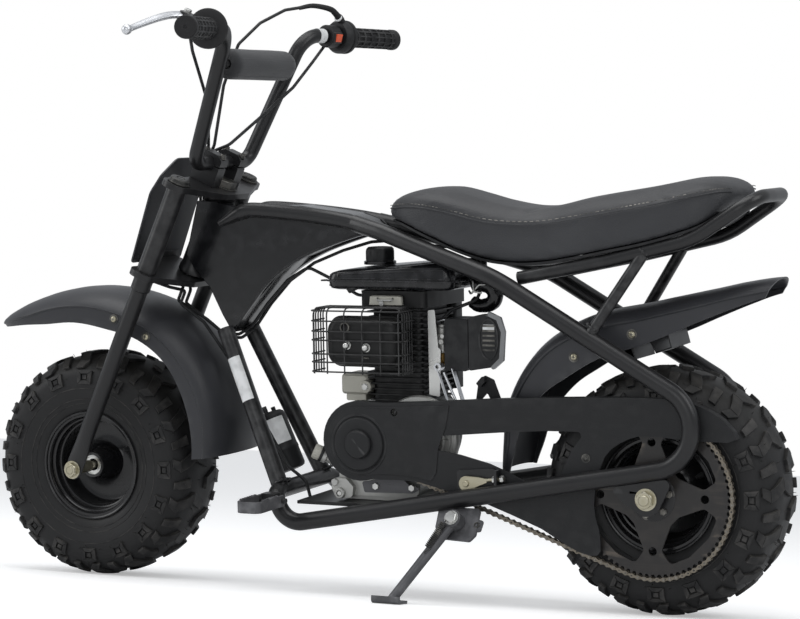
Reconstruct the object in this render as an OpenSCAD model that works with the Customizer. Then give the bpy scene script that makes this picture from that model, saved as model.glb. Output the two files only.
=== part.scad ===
// Small off-road minibike, leaning on its side stand.
// The machine is drawn upright with the ground point under the rear axle as
// zero, X forwards, Y to its left and Z up, and is then leaned as it parks.

/* [Stance] */
// Distance between the wheel axles
wheelbase = 926; // [880:1:980]
// Tilt of the steering axis from upright
rake = 24.3; // [20:0.1:28]
// Forward offset of the fork legs from the steering axis
fork_offset = 20; // [14:1:28]
// Lean on the side stand
lean = 8; // [5:0.5:10]

/* [Wheels] */
// Outer radius of the tyres over the lugs
tyre_r = 176; // [168:1:184]
// Half width of a tyre's casing
tyre_half_w = 67; // [62:1:72]
// Height of the tread lugs
lug_h = 6; // [4:0.5:8]
// Lugs round one shoulder
lug_count = 16; // [12:1:20]
// Radius of the rim at its flange
rim_r = 84.2; // [80:0.1:88]
// Half width of the rim over its flanges
rim_half_w = 58.6; // [54:0.1:60]
// Thickness of the rim's pressed steel
rim_wall = 3; // [2:0.5:4]
// Radius of a wheel hub
hub_r = 20; // [16:1:24]
// Half length of a wheel hub
hub_half_w = 52; // [44:1:56]
// Diameter of the front axle
front_axle_d = 12; // [10:0.5:15]
// Diameter of the rear axle
rear_axle_d = 15; // [12:0.5:17]

/* [Frame] */
// Diameter of the main frame tube
rail_d = 25.4; // [22:0.1:28.6]
// Half spacing of the lower rails
rail_y = 103; // [96:1:110]
// Diameter of the seat loop and its struts
loop_d = 19; // [16:0.5:22]
// Outer diameter of the head tube
head_tube_d = 42; // [38:1:46]
// Half width of the boxed head panel
panel_half_w = 28; // [22:1:34]
// Thickness of the sheet-metal plates
plate_t = 5; // [3:0.5:6]

/* [Fork] */
// Distance of the fork caps from the axle along a leg
fork_len = 483; // [460:1:500]
// Half spacing of the fork legs
fork_y = 104; // [98:1:110]
// Diameter of the upper fork tubes
fork_upper_d = 30; // [28:0.5:34]
// Diameter of the lower fork tubes
fork_lower_d = 25; // [22:0.5:28]
// Distance between the top faces of the two fork clamps
clamp_span = 148; // [140:1:160]
// Thickness of the fork clamps
clamp_t = 9; // [7:0.5:12]
// Diameter of the steering stem
stem_d = 25; // [22:0.5:28]

/* [Handlebar] */
// Diameter of the handlebar
bar_d = 22.2; // [22:0.1:25.4]
// Half width of the handlebar
bar_half_w = 331; // [310:1:350]
// Height of the bar's clamped stretch above the fork caps
bar_lift = 30; // [24:1:36]
// Rise of the bar from its clamped stretch to its bends
bar_rise = 212; // [180:1:230]
// Diameter of the foam pad
pad_d = 46; // [38:1:52]
// Diameter of the grips
grip_d = 32; // [30:0.5:36]
// Length of the grips
grip_len = 110; // [100:1:125]

/* [Drive] */
// Chain pitch
chain_pitch = 9.525; // [9.525, 12.7]
// Teeth of the rear sprocket
rear_teeth = 76; // [60:1:78]
// Teeth of the clutch sprocket
clutch_teeth = 11; // [9:1:14]
// Distance of the chain from the middle
chain_y = 78; // [76:0.5:80]
// Crankshaft forward of the rear axle
crank_x = 446; // [430:1:460]
// Height of the crankshaft
crank_z = 233; // [225:1:240]

/* [Seat] */
// Half width of the seat at the rear
seat_half_w = 100; // [85:1:115]

/* [Stand and pegs] */
// Forward reach of the stand leg when it is down
stand_forward = 30; // [15:1:40]
// Outward tilt of the stand's hinge
stand_tilt = 30; // [20:1:36]
// Diameter of the stand's leg
stand_d = 18; // [14:0.5:22]
// Diameter of the stand's pivot bolt
pivot_d = 10; // [8:0.5:12]
// Diameter of the pegs' hinge pins
pin_d = 8; // [6:0.5:10]
// Length of a foot peg
peg_len = 80; // [65:1:95]
// Width of a foot peg
peg_w = 40; // [34:1:46]

/* [Hidden] */
$fn = 48;
small_fn = 24;
// Radial gap at a turning fit, and the gap between pieces that only sit close
fit = 0.05;
seat_gap = 0.3;
free_gap = 1;

lower_clamp_w = fork_len - clamp_span;
rear_axle = [0, 0, tyre_r];
front_axle = [wheelbase, 0, tyre_r];
crank = [crank_x, 0, crank_z];
sprocket_r = chain_pitch / (2 * sin(180 / rear_teeth));
clutch_r = chain_pitch / (2 * sin(180 / clutch_teeth));
// The plates of the chain stand this far to each side of its pitch line
chain_half_h = 4.4;

// Half section of a tyre's casing. Columns: distance from the middle as a share
// of the half width, depth below the lug tips, share of the lug height
tyre_rows = [
  [0, lug_h, 1],
  [0.50, lug_h + 2, 1],
  [0.85, lug_h + 10, 0.8],
  [0.97, lug_h + 24, 0.3],
  [1.00, lug_h + 37, 0],
  [1.00, lug_h + 58, 0],
];
// A tyre stands on the flat of one lug, which spans this share of a lug's pitch
lug_steps = [0, 0.08, 0.5, 0.58];
lug_flat = 360 / lug_count * (1 - lug_steps[3]);
tread_tips = [for (i = [0, 1]) let (row = tyre_rows[i]) [row[0] * tyre_half_w, tyre_r - row[1] + row[2] * lug_h]];
lean_reach = max([for (tip = tread_tips) tip.y * cos(lug_flat / 2) * cos(lean) + tip.x * sin(lean)]);
lean_rise = lean_reach - tyre_r * cos(lean);

// Place of a point of the upright machine once it leans, before the shift to the origin
function leaned_y(p) = p.y * cos(lean) + p.z * sin(lean);
function leaned_z(p) = p.z * cos(lean) - p.y * sin(lean) + lean_rise;

// Side stand: its hinge, the directions of its leg, and the length that reaches the ground
stand_pivot = [280, rail_y + 16, 132];
stand_axis = [0, cos(stand_tilt), sin(stand_tilt)];
function stand_dir(a) = [sin(a), cos(a) * sin(stand_tilt), -cos(a) * cos(stand_tilt)];
stand_leg_dir = stand_dir(stand_forward);
stand_foot_t = 5;
stand_off = 6;
stand_root = stand_pivot + stand_axis * stand_off;
stand_drop = -(leaned_z(stand_leg_dir) - lean_rise);
stand_len = (leaned_z(stand_root) - stand_foot_t / 2) / stand_drop;

// Grid of the bars in the fork's own frame: U forwards of the legs, V left, W up along them
bar_w = fork_len + bar_lift;
bar_top_w = bar_w + bar_rise;
bar_end = [-46, bar_half_w, bar_top_w + 18];
function from_fork(p) = [
  wheelbase + p.x * cos(rake) - p.z * sin(rake),
  p.y,
  tyre_r + p.x * sin(rake) + p.z * cos(rake)
];

// The origin lies on the ground under the middle of the leaning machine
mid_x = wheelbase / 2;
bar_tip = from_fork(bar_end);
mid_y = (leaned_y([0, bar_half_w + 4, bar_tip.z]) + leaned_y([0, -bar_half_w - 4, bar_tip.z])) / 2;

function unit(v) = v / norm(v);
function mix(a, b, t) = a + (b - a) * t;
function any_side(z) = unit(cross(z, abs(z.z) < 0.9 ? [0, 0, 1] : [1, 0, 0]));

// The whole machine, leaned and moved to the origin
module parked() {
  translate([-mid_x, -mid_y, lean_rise]) rotate([-lean, 0, 0]) children();
}

// The fork's own frame
module on_fork() {
  translate(front_axle) rotate([0, -rake, 0]) children();
}

// A frame whose Z runs along the machine's Y, for what turns on an axle
module on_axle(at, y = 0) {
  translate([at.x, y, at.z]) rotate([-90, 0, 0]) children();
}

// A side view outline, thick from y0 to y1
module side_plate(y0, y1) {
  translate([0, y1, 0]) rotate([90, 0, 0]) linear_extrude(y1 - y0) children();
}

// A straight bar between two points
module rod(a, b, d) {
  z = unit(b - a);
  translate(a) rotate([0, acos(z.z), atan2(z.y, z.x)]) cylinder(d = d, h = norm(b - a));
}

module mirrored() {
  children();
  mirror([0, 1, 0]) children();
}

// Points of a bend of radius r at b, between a and c
function bend(a, b, c, r) =
  let (s = unit(b - a), t = unit(c - b),
       turn = acos(s * t), run = r * tan(turn / 2),
       side = unit(t - s * (s * t)),
       steps = max(2, ceil(turn / 18)))
  [for (i = [0:steps])
    let (g = turn * i / steps)
    b - s * run + s * r * sin(g) + side * r * (1 - cos(g))];

// A path with rounded corners; radii belong to the inner points
function rounded(p, r) = [
  p[0],
  for (i = [1:len(p) - 2]) each bend(p[i - 1], p[i], p[i + 1], r[i - 1]),
  p[len(p) - 1]
];

// A path that starts at the middle plane, carried on to its mirror image
function both_sides(half) = concat([for (i = [len(half) - 1:-1:1]) [half[i].x, -half[i].y, half[i].z]], half);

function tangent(p, i) =
  unit((i < len(p) - 1 ? unit(p[i + 1] - p[i]) : [0, 0, 0])
     + (i > 0 ? unit(p[i] - p[i - 1]) : [0, 0, 0]));

// A closed skin over sections that have the same number of points, each
// clockwise to someone who looks back at it from the next section
module loft(sections) {
  m = len(sections[0]);
  n = len(sections);
  last = (n - 1) * m;
  polyhedron(
    points = [for (s = sections) each s],
    faces = [
      for (i = [0:n - 2]) for (j = [0:m - 1])
        let (a = i * m + j, b = i * m + (j + 1) % m)
        each [[a, b, b + m], [a, b + m, a + m]],
      for (j = [0:m / 2 - 2])
        let (k = m - 1 - j)
        each [
          [k, k - 1, j], [k - 1, j + 1, j],
          [last + j, last + k - 1, last + k], [last + j, last + j + 1, last + k - 1]
        ]
    ]
  );
}

// A bent tube along a path
module bent_tube(p, d, sides = 16) {
  n = len(p);
  rings = [
    for (i = 0, t = tangent(p, 0), u = any_side(t);
         i < n;
         i = i + 1,
         t = i < n ? tangent(p, i) : t,
         u = unit(u - t * (u * t)))
      let (v = cross(u, t))
      [for (k = [0:sides - 1]) p[i] + (u * cos(360 * k / sides) + v * sin(360 * k / sides)) * d / 2]
  ];
  loft(rings);
}

// Half of the main loop: cross tube, lower rail, rear bend and upper rail
cross_corner = [583, rail_y, 157];
front_corner = [556, rail_y, 112];
rear_corner = [-174, rail_y, tyre_r + 68.5];
seat_corner = [222, rail_y, 478];
loop_half = rounded([
  [cross_corner.x, seat_gap / 2, cross_corner.z], cross_corner, front_corner, rear_corner,
  seat_corner, [418, 56, 540], [468, panel_half_w + rail_d / 2 + seat_gap, 552]
], [26, 34, 60, 160, 120]);

module frame_loop_left() {
  color("#1c1c1e") parked() bent_tube(loop_half, rail_d);
}

module frame_loop_right() {
  color("#1c1c1e") parked() mirror([0, 1, 0]) bent_tube(loop_half, rail_d);
}

head_low_w = lower_clamp_w + free_gap;
upper_clamp_w = fork_len - 2;
head_top_w = upper_clamp_w - clamp_t - free_gap;

module head_tube() {
  color("#1c1c1e") parked() on_fork() translate([-fork_offset, 0, head_low_w]) difference() {
    cylinder(d = head_tube_d, h = head_top_w - head_low_w);
    translate([0, 0, -1]) cylinder(d = stem_d + 2 * fit, h = fork_len);
  }
}

// Side outline of the head panel, clear of the head tube and the fork clamps
panel_top = [[712, 585], [676, 577], [566, 578], [483, 566], [452, 552]];
panel_low = [[446, 541], [517, 520], [567, 500], [610, 473], [645, 436], [672, 403], [686, 386]];
panel_front = [[702, 412], [726, 452]];

panel_outline = [for (part = [panel_top, panel_low, panel_front]) each part];

module head_panel() {
  color("#0f0f11") parked() difference() {
    side_plate(-panel_half_w, panel_half_w) polygon(panel_outline);
    on_fork() translate([-fork_offset, 0, 0]) cylinder(d = head_tube_d + 2 * seat_gap, h = fork_len);
  }
}

module down_tubes() {
  color("#1c1c1e") parked() mirrored() difference() {
    rod([688, 40, 386], [583, 72, 157], rail_d);
    rod([cross_corner.x, -rail_y, cross_corner.z], cross_corner, rail_d + 2 * seat_gap);
    side_plate(-rail_y, rail_y) polygon(panel_outline);
  }
}

// The tail hoop under the seat, with the struts down to the upper rails
seat_hoop = both_sides(rounded([
  [-151, 0, 590], [-151, 74, 590], [-62, 88, 531], [60, 85, 503], [192, 84, 477]
], [40, 120, 200]));

module seat_frame() {
  color("#1c1c1e") parked() {
    bent_tube(seat_hoop, loop_d, 12);
    mirrored() difference() {
      rod([78, rail_y, 404], [2, 86, 519], loop_d - 3);
      rod(rear_corner, seat_corner, rail_d + 2 * seat_gap);
    }
  }
}

module engine_plate() {
  color("#1c1c1e") parked() translate([300, -88, plate_z]) cube([250, 176, plate_t]);
}

dropout_outline = [[-40, tyre_r + 31], [54, tyre_r + 14], [14, tyre_r - 18], [4, tyre_r - 24], [-8, tyre_r - 23], [-17, tyre_r - 16]];

module rear_dropouts() {
  color("#1c1c1e") parked() mirrored() difference() {
    side_plate(rail_y - plate_t / 2, rail_y + plate_t / 2) polygon(dropout_outline);
    on_axle(rear_axle) cylinder(d = rear_axle_d + 2 * seat_gap, h = 2 * rail_y);
  }
}

module nut(at, y0, y1, across) {
  on_axle(at, y0) cylinder(d = across / cos(30), h = y1 - y0, $fn = 6);
}

module rear_axle_shaft() {
  color("#b8a86a") parked() {
    on_axle(rear_axle, -118) cylinder(d = rear_axle_d, h = 236);
    mirrored() nut(rear_axle, rail_y + plate_t / 2 + 0.3, rail_y + 12, 22);
  }
}

plate_z = 140;
case_x = [360, 495];
case_y = [-78, 60];

module engine_block() {
  color("#9a9a98") parked() {
    translate([case_x[0], case_y[0], 150]) cube([case_x[1] - case_x[0], case_y[1] - case_y[0], 138]);
    // Base flange on the mount plate, and the breather box in front of the cylinder
    translate([case_x[0] - 12, -66, plate_z + plate_t + seat_gap]) cube([158, 122, 8]);
    translate([456, -8, 280]) cube([40, 54, 46]);
    // Oil filler neck with its cap, and the drain boss
    rod([480, 34, 188], [524, 58, 212], 14);
    rod([520, 55.8, 209.8], [532, 62.3, 216.3], 22);
    rod([486, 50, 180], [496, 70, 160], 26);
    on_axle(crank, 59) cylinder(r = 40, h = 12);
    on_axle(crank, 70) cylinder(r = clutch_r - chain_half_h - 0.5, h = guard_y - 70 - seat_gap);
  }
}

fin_count = 9;
fin_pitch = 14;

module cylinder_block() {
  translate([362, -56, 288.3]) cube([84, 96, 140]);
  for (i = [0:fin_count - 1])
    translate([354, -64, 292 + i * fin_pitch]) cube([100, 112, 3.5]);
}

module cylinder_barrel() {
  color("#2a2a2b") parked() cylinder_block();
}

module blower_shroud() {
  color("#111113") parked() {
    on_axle(crank, -118) cylinder(r = 80, h = 40 - seat_gap);
    // Recoil starter cover
    on_axle(crank, -132) cylinder(r1 = 50, r2 = 60, h = 14.5);
    translate([352, -100, 429]) cube([108, 150, tank_z[0] - 429 - seat_gap]);
  }
}

tank_x = [300, 505];
tank_z = [455, 494];

module fuel_tank() {
  color("#0b0b0c") parked() {
    hull() {
      translate([tank_x[0] + 4, -76, tank_z[0] + 10]) cube([tank_x[1] - tank_x[0] - 8, 144, 14]);
      translate([tank_x[0] + 16, -62, tank_z[1] - 6]) cube([tank_x[1] - tank_x[0] - 44, 116, 6]);
      translate([tank_x[0] + 14, -66, tank_z[0]]) cube([tank_x[1] - tank_x[0] - 28, 124, 4]);
    }
    translate([tank_x[0] - 3, -83, tank_z[0] + 13]) cube([tank_x[1] - tank_x[0] + 6, 158, 3]);
  }
}

module fuel_cap() {
  color("#151515") parked() translate([448, 0, tank_z[1] + seat_gap]) cylinder(d = 46, h = 22);
}

module muffler() {
  color("#232324") parked() translate([380, 50, 345]) cube([118, 42, 72]);
}

cage = [[371, 517], [42, 98], [337, 430]];
wire_d = 2.6;
cage_levels = 5;
cage_fronts = 8;
cage_sides = 4;

module wire(a, b) {
  rod(a, b, wire_d, $fn = 8);
}

// Level wires wrap three sides of the cage, upright wires stand inside them and
// bend over its top. Crossing wires lie a little off each other's middle.
module muffler_cage() {
  x0 = cage[0][0]; x1 = cage[0][1];
  back = cage[1][0] + 8.5; face = cage[1][1];
  foot = cage[2][0]; top = cage[2][1];
  inside = wire_d * 0.43;
  color("#141414") parked() {
    for (i = [0:cage_levels - 1])
      let (z = mix(foot, top, i / (cage_levels - 1))) {
        wire([x0 - 0.9, face, z], [x1 + 0.9, face, z]);
        for (x = [x0, x1]) wire([x, back, z + 0.4], [x, face + 0.8, z + 0.4]);
      }
    for (i = [0:cage_fronts - 1])
      let (x = mix(x0 + 5, x1 - 5, i / (cage_fronts - 1))) {
        wire([x, face - inside, foot - 2.1], [x, face - inside, top + 1.9]);
        wire([x + 0.35, back, top + inside], [x + 0.35, face + 0.3, top + inside]);
      }
    for (x = [x0 + inside, x1 - inside]) for (i = [0:cage_sides - 1])
      let (y = mix(back + 3, face - 12, i / (cage_sides - 1)))
        wire([x, y, foot - 2.1], [x, y, top + 1.2]);
    for (y = [back + 12.3, face - 18.3]) wire([x0 + 1.3, y, top + 2 * inside], [x1 - 1.3, y, top + 2 * inside]);
  }
}

module carburettor() {
  color("#6e6e6c") parked() {
    // Body, float bowl and top cap
    translate([330, 0, 362]) cube([23, 34, 30]);
    translate([341.5, 17, 345]) cylinder(d = 21, h = 18);
    translate([341.5, 17, 391]) cylinder(d = 18, h = 14);
    // Bracket of the governor and its strut
    translate([336, 40, 300]) cube([17, 3, 96]);
    translate([336, 33, 366]) cube([17, 8, 12]);
    rod([344, 41.5, 304], [318, 41.5, 262], 7);
  }
}

module airbox() {
  color("#1a1a1b") parked() {
    translate([289, -14, 336]) cube([40.5, 54, 79]);
    side_plate(-18, 44) polygon([[290, 338], [290, 418], [262, 424], [242, 416], [234, 396], [237, 356], [250, 344]]);
  }
}

guard_arch_r = 85;
guard_t = 3;
guard_y = rail_y - rail_d / 2 - seat_gap - guard_t;
// The guard's rims reach in to this side of the chain
guard_rim_y = 74;
guard_round_r = 64;

module guard_outline() {
  difference() {
    union() {
      translate([crank_x, crank_z]) circle(r = guard_round_r);
      polygon([[crank_x, crank_z - 48], [crank_x, crank_z + 58], [418, 290], [299, 301], [161, 310],
               [13, 315], [-58, 311], [-96, 294], [-125, 262], [-40, 240], [0, 176], [78, 186],
               [82, 162], [72, 120], [76, 90], [122, 103], [161, 125], [250, 158], [309, 172]]);
    }
    translate([0, tyre_r]) circle(r = guard_arch_r);
    polygon([[-160, 150], [-160, 256], [-60, 257], [0, 176], [60, 150]]);
    polygon([[360, 243], [285, 225], [209, 202], [150, 176], [133, 186], [128, 209], [114, 238], [92, 264], [223, 259]]);
  }
}

module chain_guard() {
  color("#2b2c2e") parked() {
    side_plate(guard_y, guard_y + guard_t) guard_outline();
    // Rims round the clutch and along the top edge
    intersection() {
      on_axle(crank, guard_rim_y) difference() {
        cylinder(r = guard_round_r - 0.2, h = guard_y + 1 - guard_rim_y);
        translate([0, 0, -1]) cylinder(r = guard_round_r - 3.2, h = 40);
      }
      translate([crank_x - 6, 0, crank_z - 70]) cube([80, 140, 140]);
    }
    side_plate(guard_rim_y, guard_y + 1)
      polygon([[418, 289.8], [299, 300.8], [161, 309.8], [13, 314.8], [-58, 310.8], [-58, 307.8], [13, 311.8], [161, 306.8], [299, 297.8], [418, 286.8]]);
    on_axle(crank, guard_y + guard_t) cylinder(r = 37, h = 6);
    on_axle(crank, guard_y + guard_t + 6) cylinder(r = 22, h = 4);
  }
}

// The chain as one closed band, wide at each outer link and narrow at each inner one
chain_rise = atan2(crank_z - tyre_r, crank_x);
chain_c = norm([crank_x, crank_z - tyre_r]);
chain_wrap = asin((sprocket_r - clutch_r) / chain_c);
chain_run = chain_c * cos(chain_wrap);
run_links = floor(chain_run / chain_pitch / 2) * 2;
rear_links = 44;
clutch_links = 6;
function around(centre, r, a) = [centre.x + r * cos(a), centre.z + r * sin(a)];
top_a = chain_rise + 90 - chain_wrap;
low_a = chain_rise - 90 + chain_wrap;
chain_line = [
  for (i = [0:rear_links - 1])
    let (a = mix(top_a, low_a + 360, i / rear_links)) concat(around(rear_axle, sprocket_r, a), a),
  for (i = [0:run_links - 1])
    concat(mix(around(rear_axle, sprocket_r, low_a), around(crank, clutch_r, low_a), i / run_links), low_a),
  for (i = [0:clutch_links - 1])
    let (a = mix(low_a, top_a, i / clutch_links)) concat(around(crank, clutch_r, a), a),
  for (i = [0:run_links - 1])
    concat(mix(around(crank, clutch_r, top_a), around(rear_axle, sprocket_r, top_a), i / run_links), top_a)
];

module chain() {
  n = len(chain_line);
  points = [
    for (i = [0:n - 1])
      let (q = chain_line[i], w = i % 2 == 0 ? 5.4 : 3.6, o = [cos(q.z), sin(q.z)] * chain_half_h)
      each [
        [q.x + o.x, chain_y + w, q.y + o.y], [q.x - o.x, chain_y + w, q.y - o.y],
        [q.x - o.x, chain_y - w, q.y - o.y], [q.x + o.x, chain_y - w, q.y + o.y]
      ]
  ];
  color("#8c7f63") parked() polyhedron(points = points, faces = [
    for (i = [0:n - 1]) for (j = [0:3])
      let (a = 4 * i + j, b = 4 * i + (j + 1) % 4, c = 4 * ((i + 1) % n) + j, d = 4 * ((i + 1) % n) + (j + 1) % 4)
      each [[a, d, b], [a, c, d]]
  ]);
}

// Seat sections. Columns: x, half width, height of the lower edge, height of the crown
seat_rows = [
  [416, 34, 563, 572], [400, 58, 563, 584], [372, 74, 558, 594], [340, 82, 538, 598],
  [290, 86, 519, 592], [246, 88, 505, 580], [200, 89, 500, 572], [154, 94, 502, 573],
  [104, 99, 510, 584], [40, seat_half_w, 522, 594], [-20, seat_half_w, 534, 604],
  [-64, 98, 549, 614], [-92, 84, 566, 613], [-112, 62, 584, 600]
];

module seat() {
  color("#3a3a3c") parked() loft([
    for (row = seat_rows)
      let (x = row[0], w = row[1], z0 = row[2], z1 = row[3], h = z1 - z0)
      [[x, -w, z0], [x, w, z0], [x, w, z0 + 0.55 * h], [x, 0.82 * w, z0 + 0.85 * h], [x, 0.4 * w, z1],
       [x, -0.4 * w, z1], [x, -0.82 * w, z0 + 0.85 * h], [x, -w, z0 + 0.55 * h]]
  ]);
}

// Section of a mudguard, square to its arc: a crowned sheet with turned-down sides
guard_wall = 3;
function guard_section(axle, a, r, w, drop) =
  let (bow = min(16, drop / 2),
       outer = [[w, r - drop], [w - 3, r - bow], [0.62 * w, r - 3], [0, r], [-0.62 * w, r - 3], [3 - w, r - bow], [-w, r - drop]],
       inner = [for (i = [len(outer) - 1:-1:0])
         [outer[i].x * (w - guard_wall) / w, outer[i].y - (i == 0 || i == len(outer) - 1 ? 0 : guard_wall)]])
  [for (q = concat(outer, inner)) [axle.x + q.y * cos(a), q.x, axle.z + q.y * sin(a)]];

// Columns: angle round the axle, crown radius, half width, depth of the sides
front_guard_rows = [
  [52, 281, 32, 12], [57, 280, 62, 24], [64, 278, 78, 36], [75, 276.5, 84, 48], [88, 276.5, 85, 52], [103, 276, 85, 55],
  [118, 276, 85, 50], [132, 273, 85, 48], [146, 266, 85, 50], [160, 256, 85, 50], [174, 242, 84, 46]
];
rear_guard_rows = [
  [5, 244, 56, 20], [14, 249, 62, 30], [26, 260, 66, 34], [40, 268, 68, 34], [52, 271, 70, 32], [66, 268, 72, 30],
  [82, 264, 72, 28], [94, 274, 70, 28], [104, 293, 64, 26], [112, 318, 54, 22], [119, 345, 44, 16]
];

module front_fender() {
  color("#434449") parked() loft([for (row = front_guard_rows) guard_section(front_axle, row[0], row[1], row[2], row[3])]);
}

module rear_fender() {
  color("#434449") parked() loft([for (row = rear_guard_rows) guard_section(rear_axle, row[0], row[1], row[2], row[3])]);
}

bracket_in = 4;

// A frame at the stand's hinge, Z along its axis and X forwards
module on_stand() {
  translate(stand_pivot) rotate([stand_tilt - 90, 0, 0]) children();
}

module stand_bracket() {
  color("#8b8c90") parked() {
    difference() {
      on_stand() translate([-32, -24, -bracket_in - 6]) cube([64, 50, 6]);
      rod(front_corner, rear_corner, rail_d + 2 * seat_gap);
    }
    on_stand() translate([0, 0, -bracket_in - 12]) cylinder(d = pivot_d, h = 34);
  }
}

module side_stand() {
  color("#4a4b4e") parked() {
    difference() {
      union() {
        on_stand() translate([0, 0, -3.5]) cylinder(d = 26, h = 20);
        rod(stand_root, stand_root + stand_leg_dir * (stand_len - 4), stand_d);
      }
      on_stand() translate([0, 0, -40]) cylinder(d = pivot_d + 2 * fit, h = 80);
    }
    translate(stand_root + stand_leg_dir * stand_len) rotate([lean, 0, 0])
      translate([-22, -12, -stand_foot_t / 2]) cube([44, 34, stand_foot_t]);
  }
}

peg_pivot = [572, rail_y + 26, 150];

module peg_brackets() {
  color("#1c1c1e") parked() mirrored() {
    translate([peg_pivot.x - 12, rail_y + rail_d / 2 + seat_gap, peg_pivot.z - 11])
      cube([24, peg_pivot.y + 8 - rail_y - rail_d / 2, 22]);
    rod(peg_pivot - [peg_w / 2 + 6, 0, 0], peg_pivot + [peg_w / 2 + 6, 0, 0], pin_d);
  }
}

module peg() {
  difference() {
    union() {
      for (side = [-1, 1])
        translate([peg_pivot.x + side * (peg_w / 2 - 2) - 2, peg_pivot.y - 9, peg_pivot.z - 9]) cube([4, peg_len, 18]);
      translate([peg_pivot.x - peg_w / 2, peg_pivot.y - 9 + peg_len - 4, peg_pivot.z - 9]) cube([peg_w, 4, 18]);
    }
    rod(peg_pivot - [60, 0, 0], peg_pivot + [60, 0, 0], pin_d + 2 * fit);
  }
}

module left_peg() {
  color("#66676b") parked() peg();
}

module right_peg() {
  color("#66676b") parked() mirror([0, 1, 0]) peg();
}

module canister() {
  color("#26272a") parked() rod([602, 0, 176], [640, 0, 262], 46);
}

module fork_legs() {
  color("#1c1c1e") parked() on_fork() mirrored() {
    difference() {
      union() {
        translate([0, fork_y, 30]) cylinder(d = fork_lower_d, h = lower_clamp_w - clamp_t - 29);
        translate([0, fork_y, lower_clamp_w - 30]) cylinder(d = fork_upper_d, h = fork_len - lower_clamp_w + 30);
        translate([-15, fork_y - 4, -14]) cube([30, 8, 60]);
      }
      rotate([90, 0, 0]) translate([0, 0, -200]) cylinder(d = front_axle_d + 2 * seat_gap, h = 400);
    }
  }
}

module clamp_plate(w) {
  translate([0, 0, w - clamp_t]) linear_extrude(clamp_t) difference() {
    union() {
      polygon([[-fork_offset - 28, -34], [-fork_offset - 28, 34], [-18, fork_y], [-14, fork_y + 18], [14, fork_y + 18],
               [18, fork_y], [18, -fork_y], [14, -fork_y - 18], [-14, -fork_y - 18], [-18, -fork_y]]);
      for (side = [-1, 1]) translate([0, side * fork_y]) circle(d = fork_upper_d + 12);
    }
    for (side = [-1, 1]) translate([0, side * fork_y]) circle(d = fork_upper_d + 2 * seat_gap);
  }
}

module lower_clamp() {
  color("#1c1c1e") parked() on_fork() {
    clamp_plate(lower_clamp_w);
    translate([-fork_offset, 0, lower_clamp_w - clamp_t]) cylinder(d = stem_d, h = upper_clamp_w - lower_clamp_w);
  }
}

riser_y = 30;

module upper_clamp() {
  color("#1c1c1e") parked() on_fork() difference() {
    union() {
      clamp_plate(upper_clamp_w);
      for (side = [-1, 1])
        translate([-22, side * riser_y - 11, fork_len - 3]) cube([44, 22, bar_lift + 18]);
    }
    translate([-fork_offset, 0, 0]) cylinder(d = stem_d + 2 * seat_gap, h = upper_clamp_w - clamp_t + seat_gap);
    translate([-1, -150, bar_w]) rotate([-90, 0, 0]) cylinder(d = bar_d + 2 * seat_gap, h = 300);
  }
}

bar_path = both_sides(rounded([[-1, 0, bar_w], [-1, 82, bar_w], [3, 122, bar_top_w], bar_end], [22, 45]));

module handlebar() {
  color("#1c1c1e") parked() on_fork() {
    bent_tube(bar_path, bar_d);
    rod([1, -110, bar_w + 160], [1, 110, bar_w + 160], 12);
  }
}

module bar_pad() {
  color("#2a2a2c") parked() on_fork() difference() {
    rod([1, -92, bar_w + 160], [1, 92, bar_w + 160], pad_d);
    rod([1, -120, bar_w + 160], [1, 120, bar_w + 160], 12 + 2 * seat_gap);
  }
}

grip_dir = unit(bar_end - [3, 122, bar_top_w]);

module grips() {
  color("#19191a") parked() on_fork() mirrored() difference() {
    union() {
      rod(bar_end - grip_dir * grip_len, bar_end + grip_dir * 4, grip_d);
      rod(bar_end - grip_dir * (grip_len + 4), bar_end - grip_dir * grip_len, 48);
    }
    rod(bar_end - grip_dir * (grip_len + 20), bar_end + grip_dir * seat_gap, bar_d + 1);
  }
}

module brake_lever() {
  color("#b9bbbe") parked() on_fork() {
    difference() {
      hull() {
        rod(bar_end - grip_dir * (grip_len + 32), bar_end - grip_dir * (grip_len + 8), 30);
        translate([28, bar_half_w - 136, bar_top_w + 2]) cube([14, 18, 14]);
      }
      rod(bar_end - grip_dir * (grip_len + 60), bar_end, bar_d + 2 * seat_gap);
    }
    hull() {
      translate([34, bar_half_w - 129, bar_top_w + 4]) cylinder(d = 14, h = 8, $fn = small_fn);
      translate([52, bar_half_w - 21, bar_top_w - 30]) cylinder(d = 12, h = 8, $fn = small_fn);
    }
  }
}

module throttle_housing() {
  color("#202022") parked() on_fork() mirror([0, 1, 0]) difference() {
    union() {
      rod(bar_end - grip_dir * (grip_len + 30), bar_end - grip_dir * (grip_len + 5), 44);
      rod(bar_end - grip_dir * (grip_len + 56), bar_end - grip_dir * (grip_len + 34), 36);
    }
    rod(bar_end - grip_dir * (grip_len + 70), bar_end, bar_d + 2 * seat_gap);
  }
}

module number_plate() {
  color("#2c2d30") parked() on_fork() {
    hull() {
      translate([44, -76, lower_clamp_w - 10]) cube([3, 152, 4]);
      translate([52, -76, 440]) cube([3, 152, 4]);
      translate([54, -50, 470]) cube([3, 100, 3]);
    }
    translate([18 + seat_gap, -60, lower_clamp_w - 6]) cube([28, 120, 3]);
  }
}

cable_d = 5;
cable_turn_r = 14;
// The cables cross from the fork to the frame at this height on the steering axis
cable_cut_w = 296;
cable_cut_gap = 0.3;

function eased(p) = rounded(p, [for (i = [1:len(p) - 2])
  min(cable_turn_r, 0.4 * norm(p[i] - p[i - 1]), 0.4 * norm(p[i + 1] - p[i]))]);

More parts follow.
